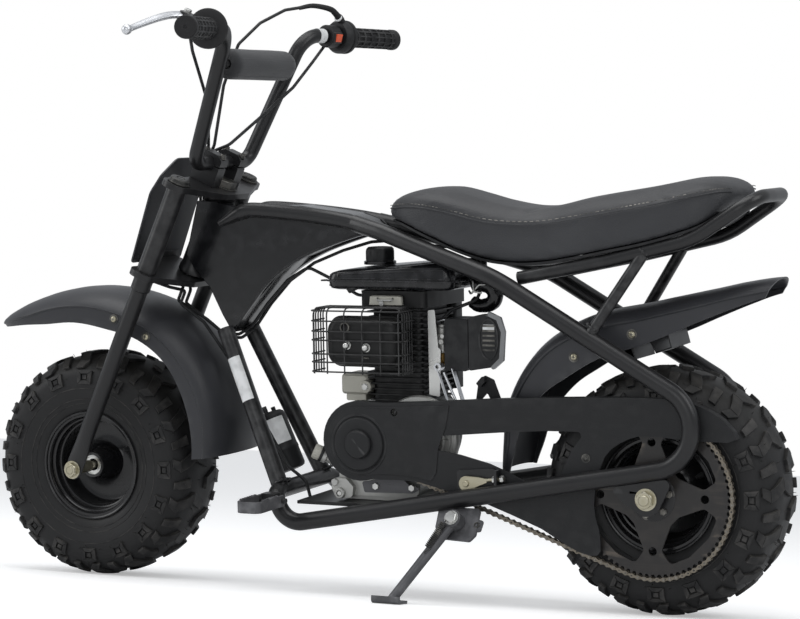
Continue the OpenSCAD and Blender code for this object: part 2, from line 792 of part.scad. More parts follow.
// Routes on the fork, in its frame: throttle, brake and stop switch
throttle_route = [
  [-14, -199, 757], [0, -168, 772], [18, -146, 769], [42, -108, 750], [54, -68, 722], [58, -32, 684],
  [48, -14, 620], [26, -11, 530], [31, -14, 484], [31, -79, 400], [30, -80, 314], [-8, -30, 308], [-24, -8, 308], [-24, -8, cable_cut_w]
];
brake_route = [
  [34, bar_half_w - 142, 726], [30, 150, 680], [22, 62, 600], [22, 12, 528], [31, 10, 484],
  [31, 73, 400], [30, 76, 314], [-8, 30, 308], [-24, 8, 308], [-24, 8, cable_cut_w]
];
switch_route = [
  [-9, -178, 711], [-14, -150, 688], [-19, -106, 646], [-16, -50, 600], [-2, -3, 543], [22, 0, 520],
  [31, -3, 484], [31, -69, 400], [33, -70, 313], [10, -36, 310], [-14, 0, 310], [-14, 0, cable_cut_w]
];

// Routes on the frame: to the carburettor, the rear brake and the engine
function cut_point(u, v) = from_fork([u, v, cable_cut_w - cable_cut_gap]);
throttle_run = [
  cut_point(-24, -8), from_fork([-24, -8, 286]), [745, -8, 398], [714, -12, 374], [692, -14, 374], [668, -14, 390], [640, -14, 427], [606, -14, 463],
  [565, -14, 490], [516, -14, 509], [470, -16, 522], [436, -32, 524], [390, -38, 516], [304, -30, 512],
  [284, -10, 482], [288, 8, 440], [326, 16, 425], [340, 17, 412], [341.5, 17, 405.4]
];
brake_run = [
  cut_point(-24, 8), from_fork([-24, 8, 286]), [745, 8, 398], [712, 14, 360], [664, 18, 300], [632, 31, 250], [600, 35, 202], [588, 38, 186],
  [560, 36, 166], [556, 28, 133], [320, -60, 132], [210, -84, 160], [58, -87, 196]
];
switch_run = [
  cut_point(-14, 0), from_fork([-14, 0, 286]), [744, 0, 402], [716, -2, 380], [692, -5, 380], [670, -5, 392], [641, -5, 428], [606, -5, 464], [572, -8, 484],
  [540, -20, 466], [500, -30, 441], [461, -30, 440]
];

module cables_on_fork() {
  color("#161617") parked() on_fork()
    for (route = [throttle_route, brake_route, switch_route]) bent_tube(eased(route), cable_d, 6);
}

module cables_on_frame() {
  color("#161617") parked()
    for (route = [throttle_run, brake_run, switch_run]) bent_tube(eased(route), cable_d, 6);
}

module front_axle_shaft() {
  color("#b8a86a") parked() {
    on_axle(front_axle, -117) cylinder(d = front_axle_d, h = 234);
    mirrored() {
      nut(front_axle, fork_y + 4.3, fork_y + 12, 19);
      on_axle(front_axle, hub_half_w + free_gap) cylinder(d = front_axle_d + 6, h = fork_y - 4.3 - hub_half_w - free_gap);
    }
  }
}

// Half section of a pressed rim. Columns: radius, distance from the middle
bead_r = 76.2;
rim_shell = [
  [rim_r, rim_half_w], [rim_r, rim_half_w - rim_wall], [bead_r, rim_half_w - rim_wall], [bead_r, 34], [70, 28]
];

module rim(at, bore_d) {
  color("#1b1b1d") parked() on_axle(at) difference() {
    union() {
      rotate_extrude() polygon(concat(
        rim_shell,
        [for (i = [len(rim_shell) - 1:-1:0]) [rim_shell[i].x, -rim_shell[i].y]],
        [[rim_r - rim_wall, -rim_half_w], [bead_r - rim_wall, 3 - rim_half_w], [bead_r - rim_wall, -36],
         [66, -28], [66, -3], [hub_r - 1, -3], [hub_r - 1, 3], [66, 3], [66, 28],
         [bead_r - rim_wall, 36], [bead_r - rim_wall, rim_half_w - 3], [rim_r - rim_wall, rim_half_w]]
      ));
      translate([0, 0, -hub_half_w]) cylinder(r = hub_r, h = 2 * hub_half_w);
    }
    translate([0, 0, -100]) cylinder(d = bore_d, h = 200);
  }
}

module front_rim() { rim(front_axle, front_axle_d + 2 * fit); }
module rear_rim() { rim(rear_axle, rear_axle_d + 2 * fit); }

// Where the lugs stand: rows as in tyre_rows, columns as in lug_steps
lug_map = [[1, 0, 0, 1], [1, 0, 1, 1], [0, 1, 1, 0], [0, 1, 1, 0], [0, 0, 0, 0], [0, 0, 0, 0]];
tyre_inner_r = bead_r + seat_gap + 0.2;
tyre_bead_y = rim_half_w - rim_wall - seat_gap;
// The casing's bead seat, from the flange inwards
tyre_bead = [[tyre_bead_y + 4, rim_r + 6], [tyre_bead_y, rim_r + 0.8], [tyre_bead_y, tyre_inner_r]];

function tyre_section(step, a) =
  let (half = [for (j = [0:len(tyre_rows) - 1])
         let (row = tyre_rows[j], up = lug_map[j][step] * lug_h)
         [row[0] * tyre_half_w + up * (1 - row[2]) * 0.5, tyre_r - row[1] + up * row[2]]],
       side = concat(half, tyre_bead),
       full = concat(side, [for (j = [len(side) - 1:-1:1]) [-side[j].x, side[j].y]]))
  [for (q = full) [q.y * cos(a), q.y * sin(a), q.x]];

module tyre(at) {
  rings = [
    for (i = [0:lug_count - 1]) for (k = [0:3])
      tyre_section(k, 90 + lug_flat / 2 + (i + lug_steps[k]) * 360 / lug_count)
  ];
  n = len(rings);
  m = len(rings[0]);
  color("#1d1d1f") parked() on_axle(at) polyhedron(
    points = [for (ring = rings) each ring],
    faces = [
      for (i = [0:n - 1]) for (j = [0:m - 1])
        let (a = i * m + j, b = i * m + (j + 1) % m, c = ((i + 1) % n) * m + j, d = ((i + 1) % n) * m + (j + 1) % m)
        each [[a, b, d], [a, d, c]]
    ]
  );
}

module front_tyre() { tyre(front_axle); }
module rear_tyre() { tyre(rear_axle); }

module rear_sprocket() {
  root_r = sprocket_r - chain_half_h - 4;
  tip_r = sprocket_r - chain_half_h - 0.5;
  color("#17171a") parked() on_axle(rear_axle, chain_y - 2) difference() {
    linear_extrude(4) difference() {
      polygon([for (i = [0:rear_teeth - 1]) for (k = [0:3])
        let (a = (i + k / 4) * 360 / rear_teeth, r = k < 2 ? tip_r : root_r) [r * cos(a), r * sin(a)]]);
      for (i = [0:3]) rotate(45 + 90 * i) difference() {
        polygon([[44, -6], [60, -44], [80, -52], [80, 52], [60, 44], [44, 6]]);
      }
    }
    translate([0, 0, -1]) cylinder(d = rear_axle_d + 2 * fit, h = 10);
  }
}

module brake_drum() {
  color("#2a2a2b") parked() on_axle(rear_axle, -86) difference() {
    cylinder(r = 52, h = 30);
    translate([0, 0, -1]) cylinder(d = rear_axle_d + 2 * fit, h = 40);
  }
}

frame_loop_left();
frame_loop_right();
head_tube();
head_panel();
down_tubes();
seat_frame();
engine_plate();
rear_dropouts();
rear_axle_shaft();
engine_block();
cylinder_barrel();
blower_shroud();
fuel_tank();
fuel_cap();
muffler();
muffler_cage();
carburettor();
airbox();
chain_guard();
chain();
seat();
rear_fender();
stand_bracket();
peg_brackets();
canister();
cables_on_frame();
fork_legs();
lower_clamp();
upper_clamp();
handlebar();
bar_pad();
grips();
brake_lever();
throttle_housing();
number_plate();
front_fender();
front_axle_shaft();
cables_on_fork();
front_rim();
front_tyre();
rear_rim();
rear_tyre();
rear_sprocket();
brake_drum();
side_stand();
left_peg();
right_peg();
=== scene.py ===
# %% [markdown]
# # A small off-road minibike
# The machine stands open to view: a loop of bent tube carries a small engine,
# and a fork with a high handlebar steers a fat front tyre. Its solids come from
# CAD and stay where they are. This lesson gives each of them its surface, and
# builds the finer pieces over them: tread blocks, chain links, wires, seams.

# %% Load the machine's solids
import math

import bmesh
import bpy
import numpy as np
from mathutils import Matrix, Vector
from mathutils.geometry import tessellate_polygon


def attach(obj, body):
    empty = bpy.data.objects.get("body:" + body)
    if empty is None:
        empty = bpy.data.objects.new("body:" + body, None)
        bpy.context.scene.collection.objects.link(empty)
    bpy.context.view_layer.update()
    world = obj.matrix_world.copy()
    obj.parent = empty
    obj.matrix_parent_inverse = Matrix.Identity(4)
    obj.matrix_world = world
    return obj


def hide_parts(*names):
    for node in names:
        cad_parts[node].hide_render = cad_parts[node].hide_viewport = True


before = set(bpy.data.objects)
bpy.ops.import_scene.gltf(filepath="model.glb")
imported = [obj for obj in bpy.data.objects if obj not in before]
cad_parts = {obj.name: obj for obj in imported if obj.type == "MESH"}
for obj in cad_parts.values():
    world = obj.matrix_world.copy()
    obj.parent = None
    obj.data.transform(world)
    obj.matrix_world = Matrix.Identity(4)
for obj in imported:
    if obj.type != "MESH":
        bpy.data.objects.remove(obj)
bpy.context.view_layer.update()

# %% [markdown]
# ## Two working frames
# The machine leans on its stand, but it is easier to build upright. So shapes
# are drawn upright in millimetres, X forwards, Y to its left and Z up from the
# ground under the rear axle, and one matrix leans and places them. The fork has
# its own frame with its origin on the front axle and its third axis up the legs.

# %% The leaned machine and the raked fork
MM = 0.001
LEAN = math.radians(8)
RAKE = math.radians(24.3)
PARKED = (Matrix.Scale(MM, 4) @ Matrix.Translation((-463, -116.104, 2.0962))
          @ Matrix.Rotation(-LEAN, 4, "X"))
FORK = PARKED @ Matrix.Translation((926, 0, 176)) @ Matrix.Rotation(-RAKE, 4, "Y")


def about_y(x, z, y=0):
    """A frame whose third axis runs to the machine's left, for what turns on an axle."""
    return Matrix.Translation((x, y, z)) @ Matrix.Rotation(math.radians(-90), 4, "X")


def along(a, b):
    """A frame at a whose third axis points at b."""
    a, b = Vector(a), Vector(b)
    return Matrix.Translation(a) @ (b - a).to_track_quat("Z", "Y").to_matrix().to_4x4()


print("front axle at", (FORK @ Vector((0, 0, 0))).to_tuple(3))

# %% [markdown]
# ## A small kit of shapes
# Bent tube, turned parts and cut plate make most of a minibike. Each helper
# gives a pair of points and faces, which can be joined, moved or mirrored before
# one call turns them into a piece. Drawing them as numbers keeps every radius
# and place in sight, where a modelling session would hide them.

# %% Shapes as points and faces
def join(*shapes):
    points, faces = [], []
    for some, loops in shapes:
        base = len(points)
        points += [tuple(p) for p in some]
        faces += [[i + base for i in loop] for loop in loops]
    return points, faces


def moved(shape, matrix):
    return [tuple(matrix @ Vector(p)) for p in shape[0]], shape[1]


def mirrored(shape):
    return [(x, -y, z) for x, y, z in shape[0]], [loop[::-1] for loop in shape[1]]


def both(shape):
    return join(shape, mirrored(shape))


def skin(rings, closed=False, caps=True):
    """A surface over rings that have the same number of points."""
    m, n = len(rings[0]), len(rings)
    points = [tuple(p) for ring in rings for p in ring]
    faces = []
    for i in range(n if closed else n - 1):
        a, b = i * m, (i + 1) % n * m
        faces += [[a + j, a + (j + 1) % m, b + (j + 1) % m, b + j] for j in range(m)]
    if caps and not closed:
        faces += [list(range(m))[::-1], list(range((n - 1) * m, n * m))]
    return points, faces


def bends(path, radii, step=9):
    """A path with its inner corners rounded to these radii."""
    path = [Vector(p) for p in path]
    if not isinstance(radii, (list, tuple)):
        radii = [radii] * (len(path) - 2)
    out = [path[0]]
    for a, b, c, r in zip(path, path[1:], path[2:], radii):
        s, t = (b - a).normalized(), (c - b).normalized()
        turn = s.angle(t)
        if turn < 0.01 or r <= 0:
            out.append(b)
            continue
        side = (t - s * s.dot(t)).normalized()
        count = max(2, math.ceil(math.degrees(turn) / step))
        start = b - s * r * math.tan(turn / 2)
        for i in range(count + 1):
            g = turn * i / count
            out.append(start + s * r * math.sin(g) + side * r * (1 - math.cos(g)))
    return out + [path[-1]]


def smooth_path(points, per=6):
    """A smooth curve through the points."""
    p = [Vector(q) for q in points]
    p = [p[0] * 2 - p[1]] + p + [p[-1] * 2 - p[-2]]
    out = []
    for a, b, c, d in zip(p, p[1:], p[2:], p[3:]):
        for i in range(per):
            t = i / per
            out.append(0.5 * (2 * b + (c - a) * t + (2 * a - 5 * b + 4 * c - d) * t * t
                              + (3 * b - a - 3 * c + d) * t ** 3))
    return out + [p[-2]]


def tube(path, radius, sides=24, flat=1.0):
    """A round bar or tube along a path. The radius may be one number or one per point."""
    path = [Vector(p) for p in path]
    radii = radius if isinstance(radius, (list, tuple)) else [radius] * len(path)
    rings, u = [], None
    for i, p in enumerate(path):
        t = (path[min(i + 1, len(path) - 1)] - path[max(i - 1, 0)]).normalized()
        if u is None:
            u = t.cross(Vector((0, 0, 1)) if abs(t.z) < 0.9 else Vector((1, 0, 0)))
        u = (u - t * u.dot(t)).normalized()
        v = t.cross(u)
        rings.append([p + (u * math.cos(k) + v * math.sin(k) * flat) * radii[i]
                      for k in np.arange(sides) * 2 * math.pi / sides])
    return skin(rings)


def turned(profile, steps=64, closed=False):
    """A lathe part round the third axis, from pairs of radius and height."""
    rings = [[(r * math.cos(a), r * math.sin(a), h) for r, h in profile]
             for a in np.arange(steps) * 2 * math.pi / steps]
    m = len(profile)
    points = [p for ring in rings for p in ring]
    faces = []
    for i in range(steps):
        a, b = i * m, (i + 1) % steps * m
        faces += [[a + j, b + j, b + (j + 1) % m, a + (j + 1) % m] for j in range(m if closed else m - 1)]
    return points, faces


def slab(outline, low, high, holes=()):
    """A plate in side view, cut to an outline of x and z, from y low to y high."""
    loops = [list(loop) for loop in (outline, *holes)]
    flat = [Vector((x, z, 0)) for loop in loops for x, z in loop]
    cuts = tessellate_polygon([[Vector((x, z, 0)) for x, z in loop] for loop in loops])
    n = len(flat)
    points = [(p.x, low, p.y) for p in flat] + [(p.x, high, p.y) for p in flat]
    faces = [list(c) for c in cuts] + [[i + n for i in reversed(c)] for c in cuts]
    base = 0
    for loop in loops:
        m = len(loop)
        faces += [[base + j, base + (j + 1) % m, base + (j + 1) % m + n, base + j + n] for j in range(m)]
        base += m
    return points, faces


def ring(x, z, r, steps=32):
    return [(x + r * math.cos(a), z + r * math.sin(a)) for a in np.arange(steps) * 2 * math.pi / steps]


def corners(outline, r, step=15):
    """A closed outline with its corners rounded."""
    n = len(outline)
    radii = r if isinstance(r, (list, tuple)) else [r] * n
    out = []
    for i in range(n):
        a, b, c = (Vector((*outline[(i + k) % n], 0)) for k in (-1, 0, 1))
        out += bends([a, b, c], [radii[i]], step)[1:-1]
    return [(p.x, p.y) for p in out]


def block(low, high):
    (a, b, c), (d, e, f) = low, high
    points = [(x, y, z) for x in (a, d) for y in (b, e) for z in (c, f)]
    return points, [[0, 1, 3, 2], [4, 6, 7, 5], [0, 4, 5, 1], [2, 3, 7, 6], [0, 2, 6, 4], [1, 5, 7, 3]]


def prism(sides, r, h0, h1, lean_in=0):
    """An upright prism on the third axis, such as a nut, with its rim chamfered by lean_in."""
    rings = []
    for radius, h in ((r, h0), (r, h1 - lean_in), (r - lean_in, h1)):
        rings.append([(radius * math.cos(a), radius * math.sin(a), h)
                      for a in (np.arange(sides) + 0.5) * 2 * math.pi / sides])
    return skin(rings)


print("shape kit ready")

# %% [markdown]
# ## From shape to piece
# A piece is a named mesh with a finish, and it rides on one body so that it
# turns with the fork or the wheel. Edges of real castings and mouldings are
# never sharp, so a bevel modifier rounds them and catches the light.

# %% Making a piece
made = []


def piece(name, shape, finish, body="frame", place=PARKED, bevel=0.0, smooth=38, levels=0,
          replaces=()):
    mesh = bpy.data.meshes.new(name)
    mesh.from_pydata([tuple(p) for p in shape[0]], [], shape[1])
    bm = bmesh.new()
    bm.from_mesh(mesh)
    bmesh.ops.remove_doubles(bm, verts=bm.verts, dist=0.001)
    bmesh.ops.recalc_face_normals(bm, faces=bm.faces)
    bm.to_mesh(mesh)
    bm.free()
    mesh.transform(place)
    ob = bpy.data.objects.new(name, mesh)
    bpy.context.collection.objects.link(ob)
    mesh.materials.append(finish)
    mesh.polygons.foreach_set("use_smooth", [True] * len(mesh.polygons))
    if bevel:
        soft = ob.modifiers.new("rounded edges", "BEVEL")
        soft.width, soft.segments = bevel * MM, 2
        soft.limit_method, soft.angle_limit = "ANGLE", math.radians(32)
        soft.harden_normals = True
    elif smooth:
        mesh.set_sharp_from_angle(angle=math.radians(smooth))
    if levels:
        finer = ob.modifiers.new("subdivided", "SUBSURF")
        finer.levels = finer.render_levels = levels
    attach(ob, body)
    if replaces:
        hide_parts(*([replaces] if isinstance(replaces, str) else replaces))
    made.append(ob)
    return ob


print("pieces made so far:", len(made))

# %% [markdown]
# ## Effects that many finishes share
# Powder coat, plastic and rubber look real through small changes: a fine grain,
# edges rubbed lighter, dust that lies on what faces up, and smudges in the
# gloss. Each effect is a node group with its own inputs, built once and used by
# many materials with their own values. Grains come from noise in the object's
# own space, so they need no unwrapping.

# %% Node groups: grain, edge wear, dust, smudges and weave
def group(name, inputs, outputs):
    tree = bpy.data.node_groups.new(name, "ShaderNodeTree")
    for label, kind, value in inputs:
        socket = tree.interface.new_socket(label, in_out="INPUT", socket_type=kind)
        socket.default_value = value
    for label, kind in outputs:
        tree.interface.new_socket(label, in_out="OUTPUT", socket_type=kind)
    return tree, tree.nodes.new("NodeGroupInput"), tree.nodes.new("NodeGroupOutput")


def node(tree, kind, settings=None, **inputs):
    """A node with its settings and its input values or links."""
    made_node = tree.nodes.new(kind)
    for key, value in (settings or {}).items():
        setattr(made_node, key, value)
    for key, value in inputs.items():
        socket = made_node.inputs[int(key[1:])] if key[0] == "_" else made_node.inputs[key.replace("_", " ")]
        if isinstance(value, bpy.types.NodeSocket):
            tree.links.new(value, socket)
        else:
            socket.default_value = value
    return made_node


FLOAT, COLOR = "NodeSocketFloat", "NodeSocketColor"

grain, g_in, g_out = group("fine grain", [("Scale", FLOAT, 600.0), ("Pits", FLOAT, 0.3)],
                           [("Height", FLOAT), ("Mask", FLOAT)])
where = node(grain, "ShaderNodeTexCoord").outputs["Object"]
fine = node(grain, "ShaderNodeTexNoise", Vector=where, Scale=g_in.outputs["Scale"], Detail=3.0)
cells = node(grain, "ShaderNodeTexVoronoi", Vector=where, Scale=g_in.outputs["Scale"])
pits = node(grain, "ShaderNodeMath", {"operation": "MULTIPLY"}, _0=cells.outputs["Distance"], _1=g_in.outputs["Pits"])
total = node(grain, "ShaderNodeMath", {"operation": "ADD"}, _0=fine.outputs[0], _1=pits.outputs[0])
grain.links.new(total.outputs[0], g_out.inputs["Height"])
grain.links.new(fine.outputs[0], g_out.inputs["Mask"])

wear, w_in, w_out = group("edge wear", [("Amount", FLOAT, 0.4), ("Scale", FLOAT, 60.0)], [("Mask", FLOAT)])
where = node(wear, "ShaderNodeTexCoord").outputs["Object"]
sharp = node(wear, "ShaderNodeMapRange", _0=node(wear, "ShaderNodeNewGeometry").outputs["Pointiness"], _1=0.52, _2=0.6)
patch = node(wear, "ShaderNodeTexNoise", Vector=where, Scale=w_in.outputs["Scale"], Detail=5.0)
broken = node(wear, "ShaderNodeMapRange", _0=patch.outputs[0], _1=0.42, _2=0.62)
rubbed = node(wear, "ShaderNodeMath", {"operation": "MULTIPLY"}, _0=sharp.outputs[0], _1=broken.outputs[0])
amount = node(wear, "ShaderNodeMath", {"operation": "MULTIPLY"}, _0=rubbed.outputs[0], _1=w_in.outputs["Amount"])
wear.links.new(amount.outputs[0], w_out.inputs["Mask"])

dust, d_in, d_out = group("settled dust", [("Amount", FLOAT, 0.2), ("Scale", FLOAT, 25.0)], [("Mask", FLOAT)])
up = node(dust, "ShaderNodeSeparateXYZ", _0=node(dust, "ShaderNodeNewGeometry").outputs["Normal"])
facing = node(dust, "ShaderNodeMapRange", _0=up.outputs["Z"], _1=0.2, _2=1.0)
where = node(dust, "ShaderNodeTexCoord").outputs["Object"]
drift = node(dust, "ShaderNodeTexNoise", Vector=where, Scale=d_in.outputs["Scale"], Detail=6.0)
thin = node(dust, "ShaderNodeMath", {"operation": "MULTIPLY"}, _0=facing.outputs[0], _1=drift.outputs[0])
lying = node(dust, "ShaderNodeMath", {"operation": "MULTIPLY"}, _0=thin.outputs[0], _1=d_in.outputs["Amount"])
dust.links.new(lying.outputs[0], d_out.inputs["Mask"])

smudge, s_in, s_out = group("smudges", [("Scale", FLOAT, 14.0), ("Low", FLOAT, 0.35), ("High", FLOAT, 0.5)],
                            [("Value", FLOAT), ("Mask", FLOAT)])
where = node(smudge, "ShaderNodeTexCoord").outputs["Object"]
blot = node(smudge, "ShaderNodeTexNoise", Vector=where, Scale=s_in.outputs["Scale"], Detail=4.0, Distortion=0.6)
level = node(smudge, "ShaderNodeMapRange", _0=blot.outputs[0], _1=0.3, _2=0.7, _3=s_in.outputs["Low"], _4=s_in.outputs["High"])
smudge.links.new(level.outputs[0], s_out.inputs["Value"])
smudge.links.new(blot.outputs[0], s_out.inputs["Mask"])

weave, v_in, v_out = group("woven cloth", [("Threads per metre", FLOAT, 900.0)], [("Height", FLOAT)])
where = node(weave, "ShaderNodeTexCoord").outputs["Object"]
warp = node(weave, "ShaderNodeTexWave", {"bands_direction": "X"}, Vector=where, Scale=v_in.outputs[0])
weft = node(weave, "ShaderNodeTexWave", {"bands_direction": "Z"}, Vector=where, Scale=v_in.outputs[0])
over = node(weave, "ShaderNodeMath", {"operation": "MAXIMUM"}, _0=warp.outputs["Fac"], _1=weft.outputs["Fac"])
weave.links.new(over.outputs[0], v_out.inputs["Height"])
print("effects:", ", ".join(g.name for g in bpy.data.node_groups))

# %% [markdown]
# ## Finishes
# One function lays the shared effects over a plain colour in the order in which
# they come on the real thing: paint or plastic, then blotches, then rubbed
# edges, then dust. The numbers that differ from one finish to the next are its
# arguments, and a table of finishes follows.

# %% A finish from a colour and the shared effects
def finish(name, color, gloss=(0.35, 0.5), metallic=0.0, coat=0.0, grain_at=600, bump=0.08, pits=0.3,
           rub=0.25, rub_color=(0.12, 0.12, 0.12), dusty=0.06, dust_color=(0.22, 0.21, 0.2), tone=0.2,
           threads=0, sheen=0.0, coat_rough=0.15, specular=0.3):
    mat = bpy.data.materials.new(name)
    mat.use_nodes = True
    tree = mat.node_tree
    shader = tree.nodes["Principled BSDF"]

    def use(shared, **values):
        return node(tree, "ShaderNodeGroup", {"node_tree": shared}, **values)

    gloss_map = use(smudge, Low=gloss[0], High=gloss[1])
    dark, light = ([c * k for c in color] + [1.0] for k in (1 - tone, 1 + tone))
    blotchy = node(tree, "ShaderNodeMix", {"data_type": "RGBA"}, _0=gloss_map.outputs["Mask"], _6=dark, _7=light)
    rubbed = use(wear, Amount=rub)
    worn = node(tree, "ShaderNodeMix", {"data_type": "RGBA"}, _0=rubbed.outputs[0], _6=blotchy.outputs[2], _7=(*rub_color, 1))
    settled = use(dust, Amount=dusty)
    dusted = node(tree, "ShaderNodeMix", {"data_type": "RGBA"}, _0=settled.outputs[0], _6=worn.outputs[2], _7=(*dust_color, 1))
    tree.links.new(dusted.outputs[2], shader.inputs["Base Color"])
    tree.links.new(gloss_map.outputs["Value"], shader.inputs["Roughness"])
    skin_grain = use(weave, **{"Threads per metre": float(threads)}) if threads else use(grain, Scale=float(grain_at), Pits=pits)
    relief = node(tree, "ShaderNodeBump", Height=skin_grain.outputs["Height"], Strength=bump, Distance=0.0006)
    tree.links.new(relief.outputs[0], shader.inputs["Normal"])
    for label, value in (("Metallic", metallic), ("Coat Weight", coat), ("Coat Roughness", coat_rough),
                         ("Sheen Weight", sheen), ("Specular IOR Level", specular)):
        shader.inputs[label].default_value = value
    return mat


satin_black = finish("satin black powder coat", (0.009, 0.009, 0.0098), (0.3, 0.42), grain_at=900, bump=0.12,
                     rub=0.25, coat=0.25, coat_rough=0.3)
gloss_black = finish("gloss black paint", (0.0035, 0.0037, 0.0044), (0.2, 0.225), coat=0.3, coat_rough=0.1, bump=0.02,
                     rub=0.3, rub_color=(0.14, 0.14, 0.15), dusty=0.015, tone=0.04)
engine_black = finish("heat-proof engine black", (0.008, 0.008, 0.008), (0.36, 0.55), bump=0.2, grain_at=500, rub=0.4)
cast_metal = finish("bare cast aluminium", (0.46, 0.46, 0.44), (0.38, 0.55), metallic=0.75, bump=0.35, grain_at=420,
                    rub=0.3, rub_color=(0.8, 0.8, 0.8), dusty=0.2, dust_color=(0.25, 0.24, 0.2))
cover_cast = finish("cream cast cover", (0.42, 0.41, 0.36), (0.4, 0.55), metallic=0.3, bump=0.2, grain_at=500, rub=0.2,
                    rub_color=(0.7, 0.7, 0.66))
plastic_black = finish("grained black plastic", (0.012, 0.0124, 0.0134), (0.42, 0.55), bump=0.3, grain_at=1100, rub=0.35)
fender_grey = finish("satin fender plastic", (0.028, 0.0288, 0.0325), (0.34, 0.46), bump=0.14, grain_at=1300, rub=0.2,
                     coat=0.12, coat_rough=0.35)
seat_vinyl = finish("charcoal seat vinyl", (0.036, 0.037, 0.04), (0.42, 0.54), bump=0.45, grain_at=520, pits=0.8,
                    rub=0.2, dusty=0.16)
tyre_rubber = finish("tyre rubber", (0.012, 0.012, 0.0124), (0.46, 0.62), bump=0.3, grain_at=380, rub=0.5,
                     rub_color=(0.09, 0.085, 0.08), dusty=0.25, dust_color=(0.13, 0.12, 0.1))
grip_rubber = finish("soft grip rubber", (0.012, 0.012, 0.0127), (0.5, 0.62), bump=0.25, grain_at=800, rub=0.3)
foam_cloth = finish("foam pad cloth", (0.022, 0.023, 0.0255), (0.62, 0.75), bump=0.5, threads=320, sheen=0.25)
zinc_yellow = finish("yellow zinc plate", (0.40, 0.37, 0.27), (0.24, 0.4), metallic=0.9, bump=0.1, rub=0.3,
                     rub_color=(0.8, 0.78, 0.7))
zinc_bright = finish("bright zinc plate", (0.62, 0.62, 0.6), (0.22, 0.4), metallic=0.95, bump=0.1)
black_oxide = finish("blackened bolt steel", (0.05, 0.05, 0.048), (0.3, 0.48), metallic=0.7, bump=0.15, rub=0.6,
                     rub_color=(0.4, 0.38, 0.34))
chain_steel = finish("oiled chain steel", (0.21, 0.185, 0.15), (0.25, 0.45), metallic=0.9, bump=0.2,
                     dusty=0.3, dust_color=(0.05, 0.045, 0.035))
grey_steel = finish("dull grey stand steel", (0.09, 0.09, 0.095), (0.36, 0.5), metallic=0.4, bump=0.25, rub=0.6,
                    rub_color=(0.35, 0.35, 0.36))
wire_black = finish("dipped black wire", (0.012, 0.012, 0.012), (0.3, 0.45), bump=0.05, coat=0.3)
alloy = finish("polished lever alloy", (0.66, 0.67, 0.69), (0.22, 0.38), metallic=0.9, bump=0.3, grain_at=260)
sprocket_black = finish("black sprocket plate", (0.02, 0.0185, 0.018), (0.3, 0.42), bump=0.1, coat=0.2, rub=0.5,
                        rub_color=(0.18, 0.15, 0.12))
rim_black = finish("satin black rim", (0.008, 0.008, 0.0087), (0.2, 0.32), coat=0.3, coat_rough=0.16, bump=0.05)
switch_red = finish("orange-red switch rocker", (0.75, 0.1, 0.03), (0.3, 0.4), coat=0.3, bump=0.05, dusty=0.05)
label_white = finish("blank white label", (0.75, 0.76, 0.76), (0.35, 0.5), coat=0.3, bump=0.03, dusty=0.05, tone=0.06)
smoky_clear = finish("smoky clear plastic", (0.20, 0.205, 0.21), (0.16, 0.3), coat=0.6, bump=0.04, dusty=0.05)
amber = finish("amber fuel bowl", (0.25, 0.15, 0.04), (0.3, 0.4), metallic=0.5, bump=0.1)
print("finishes:", len(bpy.data.materials))

# %% [markdown]
# ## The main loop of the frame
# Two half loops of 25 mm tube run from a cross tube in front of the engine,
# back along the ground, up behind the rear wheel and forward again under the
# seat. A factory bends them on a mandrel, so each is one smooth sweep with true
# arcs. Sweeping a circle along a rounded path gives just that.

# %% Frame tubes
RAIL_R, RAIL_Y = 12.7, 103
half_loop = bends([(583, 0.2, 157), (583, RAIL_Y, 157), (556, RAIL_Y, 112), (-174, RAIL_Y, 244.5),
                   (222, RAIL_Y, 478), (418, 56, 540), (468, 41, 552)], [26, 34, 60, 160, 120], 5)
piece("frame_loop_left_tube", tube(half_loop, RAIL_R, 28), satin_black, replaces="frame_loop_left")
piece("frame_loop_right_tube", mirrored(tube(half_loop, RAIL_R, 28)), satin_black, replaces="frame_loop_right")
down = tube([(691, 39, 392), (583, 72, 157)], RAIL_R, 28)
piece("down_tube_pair", both(down), satin_black, replaces="down_tubes")
hoop_half = bends([(-151, 0, 590), (-151, 74, 590), (-62, 88, 531), (60, 85, 503), (192, 84, 477)], [40, 120, 200], 6)
hoop = [Vector((p.x, -p.y, p.z)) for p in reversed(hoop_half[1:])] + hoop_half
struts = both(tube([(78, 103, 404), (2, 86, 519)], 8.2, 20))
piece("seat_hoop_tube", join(tube(hoop, 9.5, 24), struts), satin_black, replaces="seat_frame")


def bead(at, direction, r, thick=2.2):
    """A weld bead: a slightly uneven ring round a joint."""
    m = along(at, Vector(at) + Vector(direction))
    rings = []
    for k in range(48):
        a = k * math.tau / 48
        swell = thick * (1 + 0.25 * math.sin(9 * a) + 0.1 * math.sin(23 * a))
        rings.append([m @ Vector(((r + swell * math.cos(b)) * math.cos(a), (r + swell * math.cos(b)) * math.sin(a),
                                  swell * math.sin(b))) for b in np.arange(8) * math.tau / 8])
    return skin(rings, closed=True)


welds = join(bead((76, 102, 411), (-76, -17, 115), 8.4), bead((583, 71, 168), (105, -32, 229), 12.9),
             bead((4, 87, 515), (-76, -17, 115), 8.4))
piece("weld_beads", both(welds), satin_black)
print("loop path has", len(half_loop), "points")

# %% [markdown]
# ## The head panel
# The front of the frame is a box of folded sheet: two gloss sides, a rim folded
# out along the curved lower edge, and a round tube along the top. A plate with
# bevelled edges is the box, and strips swept along its outline are the rims.

